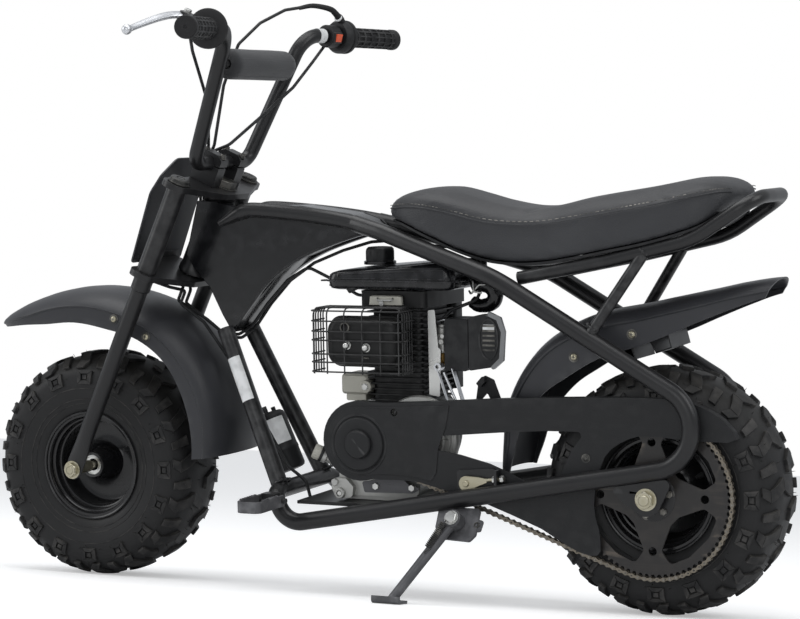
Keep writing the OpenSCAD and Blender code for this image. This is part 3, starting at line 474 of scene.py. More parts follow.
# %% Head panel, its rims and the top tube
panel_outline = [(742, 586), (712, 585), (676, 577), (566, 578), (483, 566), (455, 556), (447, 548), (450, 541),
                 (517, 520), (567, 500), (610, 473), (645, 436), (672, 403), (686, 386), (702, 412), (724, 455), (750, 482), (763, 504)]
low_edge = smooth_path([(449, 0, 539), (483, 0, 530), (517, 0, 519), (545, 0, 509), (567, 0, 499), (590, 0, 486),
                        (610, 0, 472), (629, 0, 454), (645, 0, 435), (660, 0, 417), (672, 0, 402), (686, 0, 385)], 4)


def strip(path, y0, y1, depth):
    """A folded sheet strip that follows a path in side view, from y0 to y1."""
    rings = []
    for i, p in enumerate(path):
        t = (path[min(i + 1, len(path) - 1)] - path[max(i - 1, 0)]).normalized()
        n = Vector((-t.z, 0, t.x))
        a, b = p - n * depth / 2, p + n * depth / 2
        rings.append([(a.x, y0, a.z), (b.x, y0, b.z), (b.x, y1, b.z), (a.x, y1, a.z)])
    return skin(rings)


side_face = slab(panel_outline, 24, 28)
piece("head_panel_sides", both(side_face), gloss_black, bevel=1.6, replaces="head_panel")
piece("head_panel_core", slab([(x + (3 if x < 600 else -3), z) for x, z in panel_outline], -24, 24), gloss_black, bevel=0.5)
piece("head_panel_lower_rim", both(join(strip(low_edge, 20, 31, 3.2))), gloss_black, bevel=0.8)
top_tube = smooth_path([(702, 30, 551), (684, 31, 559), (664, 31.6, 568), (640, 32, 571.5), (566, 34, 566), (500, 38, 558), (452, 44, 549), (418, 56, 540)], 6)
piece("top_tubes", both(tube(top_tube, [min(11.5, 4.5 + 0.175 * (704 - p[0])) for p in top_tube], 24)), satin_black)
steer_axis = FORK @ Matrix.Translation((-20, 0, 0))
head_tube_shape = turned([(21, 336.5), (22.5, 337), (22.5, 346), (21, 348), (21, 458), (22.5, 460), (22.5, 470.5), (21, 471)], 48)
piece("head_tube_barrel", head_tube_shape, satin_black, place=steer_axis, replaces="head_tube")
print("panel outline has", len(panel_outline), "corners")

# %% [markdown]
# ## Tyres
# A balloon tyre of 145/70-6 size: a soft round casing that carries square
# blocks on its shoulders and long bent bars across its crown. The casing is
# turned on a lathe from half a section. Each block is then cut from an outline
# laid on the casing, so it bends with it, and is set round the tyre in a loop.

# %% Casing and tread
half_casing = smooth_path([(0, 0, 171), (19, 0, 170.6), (33, 0, 168.6), (48, 0, 164.5), (58, 0, 156), (65, 0, 146),
                           (67.2, 0, 134), (67, 0, 121), (64.8, 0, 110), (62, 0, 100), (59.3, 0, 91.5), (56.5, 0, 86.2),
                           (55.3, 0, 84.6)], 4)


def on_casing(u, angle, lift=0.0, side=1):
    """A point at share u of the half section, this far round the tyre, lifted off the rubber."""
    f = min(max(u, 0), 1) * (len(half_casing) - 1)
    i = min(int(f), len(half_casing) - 2)
    p = half_casing[i].lerp(half_casing[i + 1], f - i)
    t = (half_casing[i + 1] - half_casing[i]).normalized()
    out = Vector((-t.z, 0, t.x)) if t.x >= 0 and t.z <= 0 else Vector((-t.z, 0, t.x))
    q = p + out * lift
    return Vector((q.z * math.cos(angle), q.z * math.sin(angle), side * q.x))


def tread_block(corner_list, height, side, turn, cuts=3, inset=1.2, base=-1.0):
    """A block over a quadrilateral of (share of section, degrees round the tyre) corners."""
    (a, b, c, d) = corner_list
    rings = []
    for lift, shrink in ((base, 0), (height - 0.8, 0), (height, 1)):
        loop = []
        for p, q in ((a, b), (b, c), (c, d), (d, a)):
            for k in range(cuts):
                t = k / cuts
                loop.append([p[0] + (q[0] - p[0]) * t, p[1] + (q[1] - p[1]) * t])
        mid = [sum(v[0] for v in loop) / len(loop), sum(v[1] for v in loop) / len(loop)]
        if shrink:
            loop = [[mid[0] + (u - mid[0]) * 0.93, mid[1] + (g - mid[1]) * 0.93] for u, g in loop]
        rings.append([on_casing(u, math.radians(turn + g), lift, side) for u, g in loop])
    return skin(rings, caps=True)


def shoulder_block(side, turn):
    """A square block with a smaller square sunk in its face."""
    outer = [(0.40, -5.2), (0.40, 5.2), (0.535, 5.2), (0.535, -5.2)]
    inner = [(0.435, -2.4), (0.435, 2.4), (0.50, 2.4), (0.50, -2.4)]
    shapes = []
    for k in range(4):
        o0, o1, i1, i0 = outer[k], outer[(k + 1) % 4], inner[(k + 1) % 4], inner[k]
        shapes.append(tread_block([o0, o1, i1, i0], 3.2, side, turn, cuts=2))
    shapes.append(tread_block([(0.446, -1.6), (0.446, 1.6), (0.489, 1.6), (0.489, -1.6)], 2.2, side, turn, cuts=1))
    return join(*shapes)


bar_rows = [[(0.0, -1), (0.0, 5), (0.13, 9.5), (0.13, 3.5)], [(0.13, 3.5), (0.13, 9.5), (0.30, 4.5), (0.30, -1.5)],
            [(0.30, -1.5), (0.30, 4.5), (0.375, 6.5), (0.375, 1.5)]]
edge_rows = [[(0.20, 12.5), (0.20, 17.5), (0.36, 15.2), (0.36, 11.2)]]
PITCH = 360 / 16


def tyre_shape():
    section = [(p.z, p.x) for p in half_casing] + [(76.9, 55.3)]
    full = section + [(r, -y) for r, y in reversed(section[1:])]
    casing = turned(full, 144, closed=True)
    lugs = []
    for i in range(16):
        for side in (1, -1):
            turn = i * PITCH + (0 if side > 0 else PITCH / 2)
            lugs.append(shoulder_block(side, turn))
            lugs += [tread_block(c, 5.0, side, turn) for c in bar_rows + edge_rows]
    ribs = [moved(tube([(r * math.cos(a), r * math.sin(a), 0) for a in np.arange(97) * math.tau / 96], 0.9, 6),
                  Matrix.Translation((0, 0, side * y))) for side in (1, -1) for r, y in ((97, 60.9), (104, 63.0), (121, 66.7))]
    return join(casing, *lugs, *ribs)


def vent_hairs(count, low_z, at_x, seed):
    """The thin rubber hairs that moulding leaves on a new tyre."""
    rng = np.random.default_rng(seed)
    hairs = []
    while len(hairs) < count:
        u, a, side = rng.uniform(0.0, 0.6), rng.uniform(0, math.tau), rng.choice([-1, 1])
        foot, tip = on_casing(u, a, 0, side), on_casing(u, a + rng.uniform(-0.01, 0.01), rng.uniform(4, 8), side)
        m = about_y(at_x, 176)
        if (m @ tip).z < low_z:
            continue
        hairs.append(tube([foot, foot.lerp(tip, 0.6), tip], [0.5, 0.4, 0.15], 4))
    return join(*hairs)


tyre_parts = tyre_shape()
for name, x, body in (("front", 926, "front_wheel"), ("rear", 0, "rear_wheel")):
    place = PARKED @ about_y(x, 176)
    tyre = piece(f"{name}_tyre_rubber", tyre_parts, tyre_rubber, body, place, smooth=30, replaces=f"{name}_tyre")
    piece(f"{name}_tyre_hairs", vent_hairs(130, 45, x, 3), tyre_rubber, body, place)
print("tyre faces:", len(tyre_parts[1]))

# %% [markdown]
# ## Wheels
# The rims are two pressed steel halves, painted black. Seen from the side a
# deep dish steps down from the flange in rounded ledges to a flat disc with a
# hub. All of that is one turned section, mirrored for the far side.

# %% Rims and hubs
dish = [(84.2, 57.2), (83.6, 58.4), (82.2, 58.6), (80.6, 57.8), (79.8, 55.5), (78.6, 54.0), (76.4, 53.4), (75.2, 51.8),
        (74.6, 48.0), (73.4, 46.6), (71.4, 46.0), (70.6, 44.6), (70.2, 37.5), (69.2, 36.0), (67.0, 35.2), (66.0, 33.6),
        (65.4, 14.0), (64.4, 9.0), (61.5, 5.6), (57.0, 4.2), (45.0, 3.8), (33.0, 4.6), (29.0, 7.0), (26.4, 12.0),
        (24.4, 24.0), (22.4, 34.0), (20.6, 37.0), (20.2, 49.5), (19.2, 51.6), (15.5, 52.0), (15.2, 49.0), (9.0, 48.6)]


def rim_shape():
    outer = turned(dish, 96)
    back = turned([(84.2, 57.2), (84.2, 55.8), (76.4, 55.4), (76.2, 34), (70.6, 28), (70.2, 0)], 96)
    half = join(outer, back)
    return join(half, ([(x, y, -z) for x, y, z in half[0]], [loop[::-1] for loop in half[1]]))


rim_parts = rim_shape()
for name, x, body in (("front", 926, "front_wheel"), ("rear", 0, "rear_wheel")):
    place = PARKED @ about_y(x, 176)
    piece(f"{name}_rim_steel", rim_parts, rim_black, body, place, smooth=30, replaces=f"{name}_rim")
    seals = join(*[moved(turned([(15.2, 0), (15.6, 1.6), (13.8, 2.0), (13.2, 0.4), (9.4, 0.2)], 40),
                         Matrix.Translation((0, 0, 49.4)) if s > 0 else
                         Matrix.Translation((0, 0, -49.4)) @ Matrix.Rotation(math.pi, 4, "X")) for s in (1, -1)])
    piece(f"{name}_bearing_seals", seals, zinc_bright, body, place)
    valve = tube([(66, 0, 30), (61, 0, 37), (58, 0, 44)], [4.4, 3.4, 2.6], 12)
    piece(f"{name}_valve", moved(valve, Matrix.Rotation(math.radians(205), 4, "Z")), plastic_black, body, place)
print("rim section has", len(dish), "points")

# %% [markdown]
# ## Fork
# Each leg is one tube whose lower end is pressed flat and rounded into a tab for
# the axle. A stack of ellipses that narrows along the leg gives that press mark
# without a seam. The clamps are thick cut plates with flat cap bolts on top.

# %% Fork legs, clamps and caps
FORK_Y, LEG_TOP = 104, 483


def ellipses(rows, v, u=0):
    """A bar along the fork from rows of height, half width forwards and half width sideways."""
    return skin([[(u + a * math.cos(k), v + b * math.sin(k), w) for k in np.arange(32) * math.tau / 32]
                 for w, a, b in rows])


leg_rows = [(-14.4, 5, 3.2), (-11.5, 10, 4.0), (-6, 13.6, 4.2), (2, 15, 4.2), (16, 15, 4.6), (30, 14.4, 6.0),
            (44, 13.4, 9.0), (58, 12.7, 11.6), (72, 12.5, 12.5), (300, 12.5, 12.5), (304, 12.6, 12.6),
            (306, 14.9, 14.9), (330, 15, 15), (LEG_TOP - 0.5, 15, 15)]
piece("fork_leg_tubes", both(ellipses(leg_rows, FORK_Y)), satin_black, "fork", FORK, replaces="fork_legs")


def level_plate(outline, low, high, holes=()):
    """A plate square to the fork legs, cut to an outline of forward and sideways."""
    return moved(slab(outline, low, high, holes), Matrix.Rotation(math.radians(90), 4, "X"))


clamp_outline = corners([(-48, -34), (-48, 34), (-23, 100), (-17, 126), (17, 126), (22, 112), (20, 60), (20, -60),
                         (22, -112), (17, -126), (-17, -126), (-23, -100)], [14, 14, 30, 16, 16, 10, 30, 30, 10, 16, 16, 30])
piece("upper_clamp_plate", level_plate(clamp_outline, 472, 481), satin_black, "fork", FORK, bevel=1.2,
      replaces="upper_clamp")
piece("lower_clamp_plate", level_plate(clamp_outline, 326, 335), satin_black, "fork", FORK, bevel=1.2,
      replaces="lower_clamp")
cap = turned([(0.1, 489.4), (5.0, 489.4), (5.2, 488.2), (6.6, 488.2), (7.0, 489.6), (14.2, 489.2), (15.4, 488.0), (15.6, 484.6),
              (17.6, 484.0), (18, 482.6), (17.6, 481.2), (0.1, 481.2)], 40)
caps = join(*[moved(cap, Matrix.Translation((0, s * FORK_Y, 0))) for s in (1, -1)])
stem_nut = moved(prism(6, 17, 481, 493, 1.2), Matrix.Translation((-20, 0, 0)))
stem_washer = moved(turned([(0.1, 481), (20, 481), (20, 483), (0.1, 483)], 32), Matrix.Translation((-20, 0, 0)))
piece("fork_cap_bolts", join(caps, stem_nut, stem_washer), black_oxide, "fork", FORK, bevel=0.3)
stem = moved(turned([(12.5, 320), (12.5, 481)], 32), Matrix.Translation((-20, 0, 0)))
piece("steering_stem", stem, zinc_bright, "fork", FORK)
print("clamp outline has", len(clamp_outline), "points")

# %% [markdown]
# ## Handlebar and its mounts
# Two split risers hold the bar with four socket bolts. The bar rises steeply,
# bends outwards and sweeps back a little to the grips. A thin cross bar braces
# it and carries a foam pad.

# %% Handlebar, cross bar and risers
BAR_W, BAR_TOP_W = 513, 725
bar_end = Vector((-46, 331, BAR_TOP_W + 18))
bar_half = bends([(-1, 0, BAR_W), (-1, 82, BAR_W), (3, 122, BAR_TOP_W), tuple(bar_end)], [24, 45], 5)
bar_line = [Vector((p.x, -p.y, p.z)) for p in reversed(bar_half[1:])] + bar_half
cross_bar = tube([(1, -111, BAR_W + 160), (1, 111, BAR_W + 160)], 6, 20)
piece("handlebar_tube", join(tube(bar_line, 11.1, 28), cross_bar), satin_black, "fork", FORK, replaces="handlebar")


def socket_bolt(r=4.6, h=7.0):
    """A cap bolt with a hexagon socket, its head standing on zero."""
    head = turned([(r + 0.1, 0), (r, h - 0.7), (r - 0.7, h), (r * 0.62, h)], 28)
    well = skin([[(r * 0.62 * math.cos(a), r * 0.62 * math.sin(a), z) for a in np.arange(6) * math.tau / 6]
                 for z in (h, h - 3.4)], caps=False)
    floor_face = ([(r * 0.62 * math.cos(a), r * 0.62 * math.sin(a), h - 3.4) for a in np.arange(6) * math.tau / 6], [[0, 1, 2, 3, 4, 5]])
    washer = turned([(r + 1.6, 0), (r + 1.6, 1.0), (r * 0.9, 1.0)], 28)
    return join(head, well, floor_face, washer)


riser_side = corners([(-22, 481.2), (-22, 512.2), (20, 512.2), (20, 481.2)], [1, 3, 3, 1])
riser_cap = corners([(-22, 513.8), (-22, 524), (-12, 530.5), (10, 530.5), (20, 524), (20, 513.8)], [1, 3, 6, 6, 3, 1])
risers, riser_bolts = [], []
for s in (1, -1):
    risers += [slab(riser_side, s * 30 - 11, s * 30 + 11), slab(riser_cap, s * 30 - 11, s * 30 + 11)]
    for u in (-15.5, 13.5):
        for dv in (0,):
            riser_bolts.append(moved(socket_bolt(4.4, 6.5), Matrix.Translation((u, s * 30 + dv, 526.5))))
piece("handlebar_risers", join(*risers), satin_black, "fork", FORK, bevel=1.4)
piece("riser_bolts", join(*riser_bolts), black_oxide, "fork", FORK, smooth=50)
under = [moved(join(prism(6, 8.5, -8, 0, 0.8), turned([(4, -16), (4, 0)], 20)), Matrix.Translation((-1, s * 30, 472))) for s in (1, -1)]
piece("riser_nuts", join(*under), black_oxide, "fork", FORK, bevel=0.3)
print("bar line is", round(sum((a - b).length for a, b in zip(bar_line, bar_line[1:]))), "mm long")

# %% [markdown]
# ## Foam bar pad
# A roll of foam in a sewn cloth sleeve, open at both ends where the cross bar
# comes out. It is soft, so its ends are rounded and drawn in, its barrel swells
# a little between them, and small soft dents run over it. It is short and firm,
# and moving its points in code shows that better than a cloth simulation.

# %% Bar pad
pad_rings = []
pad_profile = [(-92, 8), (-92.5, 13), (-91.5, 18), (-88.5, 21.4), (-84, 22.6)] + \
              [(v, 22.7 + 0.3 * math.cos(v / 84 * math.pi / 2)) for v in range(-76, 77, 8)] + \
              [(84, 22.6), (88.5, 21.4), (91.5, 18), (92.5, 13), (92, 8), (86, 6.4), (-86, 6.4)]
for v, r in pad_profile:
    pad_rings.append([(1 + (r + 0.25 * math.sin(3 * a + v / 17) * (r > 20)) * math.cos(a), v,
                       BAR_W + 160 + (r + 0.25 * math.cos(2 * a + v / 23) * (r > 20)) * math.sin(a))
                      for a in np.arange(48) * math.tau / 48])
pad = piece("foam_bar_pad", skin(pad_rings, closed=True), foam_cloth, "fork", FORK, smooth=60, replaces="bar_pad")
seam = tube([(1 - 22.9 * math.cos(0.5), v, BAR_W + 160 - 22.9 * math.sin(0.5)) for v in range(-84, 85, 6)], 0.7, 6)
piece("bar_pad_seam", seam, foam_cloth, "fork", FORK)
print("pad rings:", len(pad_rings))

# %% [markdown]
# ## Grips, throttle and levers
# The grips are moulded rubber with a grid of ribs, a wide flange inside and a
# thick end. The right one turns in the throttle housing, beside a switch box
# with a red rocker. All of these are turned round the bar's own end line, so one
# frame with its third axis along the grip places them.

# %% Grips
grip_dir = (bar_end - Vector((3, 122, BAR_TOP_W))).normalized()
grip_frame = along(bar_end, bar_end - grip_dir)


def on_right(shape):
    return mirrored(shape)


def grip_shape(flange):
    core = turned([(11.3, -4), (15.2, -4), (16.2, -3.2), (16.6, -1), (16.6, 6), (15.8, 8), (14.2, 9.5), (14.0, 104), (16.4, 108),
                   (flange - 1, 109.5), (flange, 110.5), (flange, 113.2), (flange - 1, 114), (11.6, 114)], 48)
    rings = [turned([(13.6, h - 2.4), (15.8, h - 1.6), (15.9, h + 1.6), (13.6, h + 2.4)], 48) for h in (16, 33, 50, 67, 84, 100)]
    lines = []
    for k in range(12):
        a0 = k * math.tau / 12
        rows = [[(r * math.cos(a0 + da), r * math.sin(a0 + da), h) for da, r in ((-0.10, 13.6), (-0.07, 15.9), (0.07, 15.9), (0.10, 13.6))]
                for h in (10, 104)]
        lines.append(skin(rows))
    end = turned([(0.1, -3.4), (2.6, -3.4), (2.9, -4.2), (15.2, -4.2)], 40)
    return join(core, end, *rings, *lines)


left_grip, right_grip = moved(grip_shape(29), grip_frame), moved(grip_shape(22), grip_frame)
piece("grip_rubbers", join(left_grip, on_right(right_grip)), grip_rubber, "fork", FORK, smooth=45, replaces="grips")

# %% Throttle housing, switch and brake lever
throttle = turned([(11.4, 115), (24, 115), (26.5, 116.5), (26.5, 121.5), (24.6, 122.5), (24.6, 125), (26.5, 126), (26.5, 133), (23, 139.5), (11.4, 140)], 48)
piece("throttle_barrel", on_right(moved(throttle, grip_frame)), plastic_black, "fork", FORK, bevel=0.4, replaces="throttle_housing")
sw = moved(turned([(11.4, 143), (16.5, 143), (17.8, 144.5), (17.8, 164.5), (16.5, 166), (11.4, 166)], 40), grip_frame)
piece("kill_switch_body", on_right(sw), plastic_black, "fork", FORK, bevel=0.8)
print("grip line points at", tuple(round(c, 3) for c in grip_dir))

# %% [markdown]
# ## Mudguards
# The guards are blown from satin plastic: a crowned sheet with a crease along
# each side and a skirt below it. A table gives the section at a few angles round
# the axle, as in the CAD, and smooth curves through the table fill in the rest.

# %% Mudguards
def smooth_rows(rows, per=5):
    """Rows of numbers with smooth curves run through each column."""
    p = np.array(rows, float)
    p = np.vstack([2 * p[0] - p[1], p, 2 * p[-1] - p[-2]])
    out = []
    for i in range(1, len(p) - 2):
        for k in range(per):
            t = k / per
            out.append(0.5 * (2 * p[i] + (p[i + 1] - p[i - 1]) * t + (2 * p[i - 1] - 5 * p[i] + 4 * p[i + 1] - p[i + 2]) * t * t
                              + (3 * p[i] - p[i - 1] - 3 * p[i + 1] + p[i + 2]) * t ** 3))
    return out + [p[-2]]


def guard_shape(axle_x, rows, crown, wall=3.0):
    """A mudguard round an axle from rows of angle, crown radius, half width and skirt depth."""
    rings = []
    for angle, r, w, drop in smooth_rows(rows, 6):
        shoulder = min(crown, drop * 0.62)
        half = [(0, 0), (0.25, 0.03), (0.5, 0.13), (0.7, 0.3), (0.84, 0.52), (0.93, 0.74), (0.985, 0.93), (1.0, 1.0)]
        outer = [(w * s, r - shoulder * d) for s, d in half]
        outer += [(w - 0.6, r - shoulder - 1.4), (w - 2.4, r - shoulder - 2.6), (w - 2.6, r - (shoulder + drop) / 2), (w - 2.8, r - drop)]
        inner = [(max(s - wall, 0) if i > 6 else s * (w - wall) / w, q - (wall if i < 8 else 0)) for i, (s, q) in enumerate(outer)]
        section = [(-s, q) for s, q in reversed(outer[1:])] + outer + list(reversed(inner)) + [(-s, q) for s, q in inner[1:]]
        a = math.radians(angle)
        rings.append([(axle_x + q * math.cos(a), s, 176 + q * math.sin(a)) for s, q in section])
    return skin(rings)


front_rows = [(51.5, 281, 26, 8), (55, 280, 56, 20), (63, 278, 77, 34), (75, 276.5, 84, 48), (88, 276.5, 85, 52), (103, 276, 85, 55),
              (118, 276, 85, 50), (132, 273, 85, 48), (146, 266, 85, 50), (160, 256, 85, 50), (174, 242, 84, 46)]
rear_rows = [(5, 244, 56, 20), (14, 249, 62, 30), (26, 260, 66, 40), (40, 268, 69, 54), (52, 271, 71, 65), (66, 268, 73, 63),
             (82, 264, 73, 57), (94, 274, 71, 52), (104, 293, 66, 45), (112, 318, 58, 39), (119, 345, 47, 30)]
piece("front_mudguard_shell", guard_shape(926, front_rows, 26), fender_grey, "fork", smooth=40, replaces="front_fender")
piece("rear_mudguard_shell", guard_shape(0, rear_rows, 20), fender_grey, "frame", smooth=40, replaces="rear_fender")


def pan_bolt(r=4.8, h=3.0, washer=7.4):
    """A round-headed bolt, and its cross recess and dark washer."""
    head = turned([(r, 0.8), (r * 0.98, 1.4), (r * 0.85, h * 0.75), (r * 0.5, h), (0.1, h + 0.2)], 28)
    disc = turned([(washer, 0), (washer, 0.8), (r * 0.9, 0.8)], 32)
    cross = join(block((-r * 0.5, -0.6, h - 0.4), (r * 0.5, 0.6, h + 0.35)), block((-0.6, -r * 0.5, h - 0.4), (0.6, r * 0.5, h + 0.35)))
    return head, join(disc, cross)


bolt_heads, bolt_marks = [], []
for x, z, y in ((861, 407, 82.6), (805, 381, 82.6)):
    head, mark = pan_bolt()
    for s in (1, -1):
        at = along((x, s * y, z), (x, s * (y + 1), z))
        bolt_heads.append(moved(head, at))
        bolt_marks.append(moved(mark, at))
piece("front_guard_bolts", join(*bolt_heads), zinc_yellow, "fork", smooth=40)
piece("front_guard_washers", join(*bolt_marks), black_oxide, "fork")
rear_heads, rear_marks = [], []
for x, z, y in ((116.6, 366.3, 69.2), (30.1, 400, 70.3)):
    head, mark = pan_bolt()
    for s in (1, -1):
        at = along((x, s * y, z), (x, s * (y + 1), z))
        rear_heads.append(moved(head, at))
        rear_marks.append(moved(mark, at))
piece("rear_guard_bolts", join(*rear_heads), zinc_yellow, smooth=40)
piece("rear_guard_washers", join(*rear_marks), black_oxide)


def bent_sheet(line, thick, low, high):
    """Sheet metal bent along a line of x and z, from y low to y high."""
    line = [Vector(p) for p in line]
    back = []
    for i, p in enumerate(line):
        t = (line[min(i + 1, len(line) - 1)] - line[max(i - 1, 0)]).normalized()
        back.append((p.x - t.y * thick, p.y + t.x * thick))
    return slab([tuple(p) for p in line] + back[::-1], low, high)


channels = []
for line in ([(24, 428), (12.4, 389.2), (4.5, 373.5), (-16.5, 381), (-11, 398.6), (-6, 424)],
             [(74, 414), (58, 376), (50, 366.5), (36.5, 363.5), (41.9, 378), (52, 420)]):
    channels.append(bent_sheet(line, 2.4, -42, 42))
piece("rear_guard_channels", join(*channels), satin_black, bevel=0.5)
print("guard bolts:", len(bolt_heads) + len(rear_heads), "channels", len(channels))

# %% [markdown]
# ## Seat
# The seat is firm foam under stretched vinyl: a hump in front, a dip where the
# rider sits, and a raised tail. A seam with a line of stitches runs round it
# where the side panels meet the crown. The shell is lofted from a table of
# sections, then Blender's cloth blows it out a little against its own skin, as
# foam does under a cover, and the seam and its stitches are laid on after that.

# %% Seat shell
seat_rows = [(419, 20, 566, 573, 576), (412, 36, 563, 574, 583), (400, 54, 559, 575, 591), (380, 68, 554, 577, 598), (350, 78, 542, 577, 602),
             (320, 83, 530, 573, 600), (290, 86, 518, 567, 592), (246, 88, 505, 557, 580), (200, 90, 500, 553, 572),
             (154, 94, 502, 554, 573), (104, 99, 510, 561, 584), (63, 100, 518, 568, 591), (4, 100, 530, 578, 600),
             (-54, 98, 546, 589, 611), (-80, 91, 557, 594, 615), (-98, 78, 570, 597, 611), (-110, 58, 581, 597, 604), (-116, 34, 588, 596, 599)]


def seat_section(x, w, low, seam_z, top):
    """One section: a flat base, drawn-in sides up to the seam, and a crowned top."""
    half = [(w * 0.5, low), (w * 0.9, low), (w * 0.97, low + 3), (w * 0.99, low + (seam_z - low) * 0.35),
            (w * 0.98, low + (seam_z - low) * 0.7), (w * 0.955, seam_z), (w * 0.9, seam_z + (top - seam_z) * 0.42),
            (w * 0.76, seam_z + (top - seam_z) * 0.72), (w * 0.55, seam_z + (top - seam_z) * 0.9),
            (w * 0.28, seam_z + (top - seam_z) * 0.98)]
    return [(x, y, z) for y, z in half] + [(x, 0, top)] + [(x, -y, z) for y, z in reversed(half)]


fine_seat = smooth_rows(seat_rows, 5)
shell = skin([seat_section(*row) for row in fine_seat])
seat = piece("seat_cushion", shell, seat_vinyl, smooth=70, replaces="seat")


def inflate(ob, pressure=4.0, cap_mm=5.0, voxel=0.0055):
    """Blows a closed skin out with cloth, and lets no point move further than the cap."""
    bpy.context.view_layer.objects.active = ob
    ob.select_set(True)
    remesh = ob.modifiers.new("even skin", "REMESH")
    remesh.mode, remesh.voxel_size = "VOXEL", voxel
    bpy.ops.object.modifier_apply(modifier=remesh.name)
    count = len(ob.data.vertices)
    before = np.empty(count * 3)
    ob.data.vertices.foreach_get("co", before)
    pinned = ob.vertex_groups.new(name="held base")
    low_part = before.reshape(-1, 3)
    upright = [PARKED.inverted() @ Vector(p) for p in low_part]
    base_x = np.array([row[0] for row in fine_seat])[::-1]
    base_z = np.array([row[2] for row in fine_seat])[::-1]
    floor_z = np.interp([p.x for p in upright], base_x, base_z)
    pinned.add([i for i, p in enumerate(upright) if p.z < floor_z[i] + 6], 1.0, "ADD")
    cloth = ob.modifiers.new("vinyl skin", "CLOTH")
    cloth.settings.quality = 5
    cloth.settings.use_pressure = True
    cloth.settings.uniform_pressure_force = pressure
    cloth.settings.vertex_group_mass = "held base"
    cloth.settings.tension_stiffness = cloth.settings.compression_stiffness = 25
    cloth.settings.bending_stiffness = 3
    cloth.settings.effector_weights.gravity = 0
    for step in range(1, 15):
        bpy.context.scene.frame_set(step)
    soft = ob.evaluated_get(bpy.context.evaluated_depsgraph_get())
    after = np.empty(count * 3)
    soft.data.vertices.foreach_get("co", after)
    shift = (after - before).reshape(-1, 3)
    far = np.linalg.norm(shift, axis=1, keepdims=True)
    limit = cap_mm * MM
    shift *= np.minimum(1.0, limit / np.maximum(far, 1e-9))
    ob.modifiers.remove(cloth)
    bpy.context.scene.frame_set(1)
    ob.data.vertices.foreach_set("co", (before.reshape(-1, 3) + shift).ravel())
    ob.data.update()
    return float(np.abs(far).max() / MM)


print("seat skin moved by up to", round(inflate(seat), 1), "mm before the cap")
seat.data.polygons.foreach_set("use_smooth", [True] * len(seat.data.polygons))


# %% Seat seam, stitches and base
def seam_point(row, side, out=0.0):
    x, w, low, seam_z, top = row
    return Vector((x, side * (w * 0.965 + out), seam_z))


seam_groove, stitches = [], []
for side in (1, -1):
    line = [seam_point(row, side, 2.2) for row in fine_seat[6:-4]]
    seam_groove.append(tube(line, 1.0, 6))
    for a, b in zip(line, line[1:]):
        n = max(1, round((b - a).length / 7))
        for k in range(n):
            p, q = a.lerp(b, (k + 0.15) / n), a.lerp(b, (k + 0.7) / n)
            lift = Vector((0, side * 0.3, 4.2))
            stitches.append(tube([p + lift, p.lerp(q, 0.5) + lift + Vector((0, side * 0.5, 0.2)), q + lift], 0.55, 5))
piece("seat_seam_welt", join(*seam_groove), seat_vinyl)
piece("seat_stitches", join(*stitches), black_oxide)
pan_rows = [row for row in fine_seat if -100 < row[0] < 405]
pan = skin([[(x, w * 0.93, low - 1), (x, w * 0.93, low - 5), (x, w * 0.6, low - 7), (x, -w * 0.6, low - 7), (x, -w * 0.93, low - 5),
             (x, -w * 0.93, low - 1)] for x, w, low, seam_z, top in pan_rows])
piece("seat_pan", pan, plastic_black, bevel=0.5)
print("stitches:", len(stitches))

# %% [markdown]
# ## The fuel tank
# The real tank is two pressed shells seamed together, so it has a flange all
# round its waist and soft corners. Stacked rounded outlines give the pillow
# shape, and the whole stack leans a little because the tank's top falls forwards.

# %% Tank shells, seam and raised border
def plan(x0, x1, y0, y1, z, r, fall=0.0):
    """A rounded rectangle seen from above, its height falling towards the front."""
    return [(x, y, z - (x - 400) * fall) for x, y in corners([(x0, y0), (x1, y0), (x1, y1), (x0, y1)], r, 18)]


tank_levels = [(312, 494, -66, 60, 456, 12, 0.0), (305, 501, -74, 67, 458, 14, 0.0), (303, 503, -77, 69.4, 462, 15, 0.0),
               (302, 504, -77, 70, 470, 15, 0.0), (303, 503, -76, 68.6, 484, 15, 0.06), (305, 500, -73, 66, 487.6, 15, 0.07),
               (312, 492, -66, 59, 490.4, 15, 0.075), (330, 470, -48, 40, 492.4, 15, 0.08), (360, 440, -24, 16, 493, 10, 0.08)]
piece("fuel_tank_shells", skin([plan(*row) for row in tank_levels]), gloss_black, smooth=60, replaces="fuel_tank")
piece("fuel_tank_seam", skin([plan(297.5, 507.5, -82.5, 74.5, 468, 20), plan(297.5, 507.5, -82.5, 74.5, 470.4, 20)]),
      gloss_black, bevel=0.7)


def side_y(z):
    return float(np.interp(z, [462, 470, 484, 488], [69.4, 70, 68.6, 66])) + 0.2


border = bends([(313, side_y(473), 473), (313, side_y(484), 486.6), (484, side_y(481), 478.6), (492, side_y(473), 472.6),
                (313, side_y(473), 472.6)], 4)
piece("fuel_tank_border", tube(border, 0.9, 8), gloss_black)
seam_tabs = join(skin([plan(505, 515, 52, 66, 468.2, 3), plan(505, 515, 52, 66, 470.2, 3)]),
                 tube([(470, 62, 455), (455, 63, 462)], 5, 16), tube([(500, 40, 461), (512, 40, 461)], 2, 10))
piece("fuel_tank_tabs", seam_tabs, engine_black)
print("tank levels", len(tank_levels))

# %% [markdown]
# ## The filler cap
# A moulded cap has wide finger lobes and a soft top edge. A lathe can't give
# the lobes, so each ring's radius swells and shrinks eight times round.

# %% Filler cap
def lobed(r, z, lobes=8, depth=0.05):
    return [(r * (1 + depth * math.cos(lobes * a)) * math.cos(a), r * (1 + depth * math.cos(lobes * a)) * math.sin(a), z)
            for a in np.arange(96) * math.tau / 96]


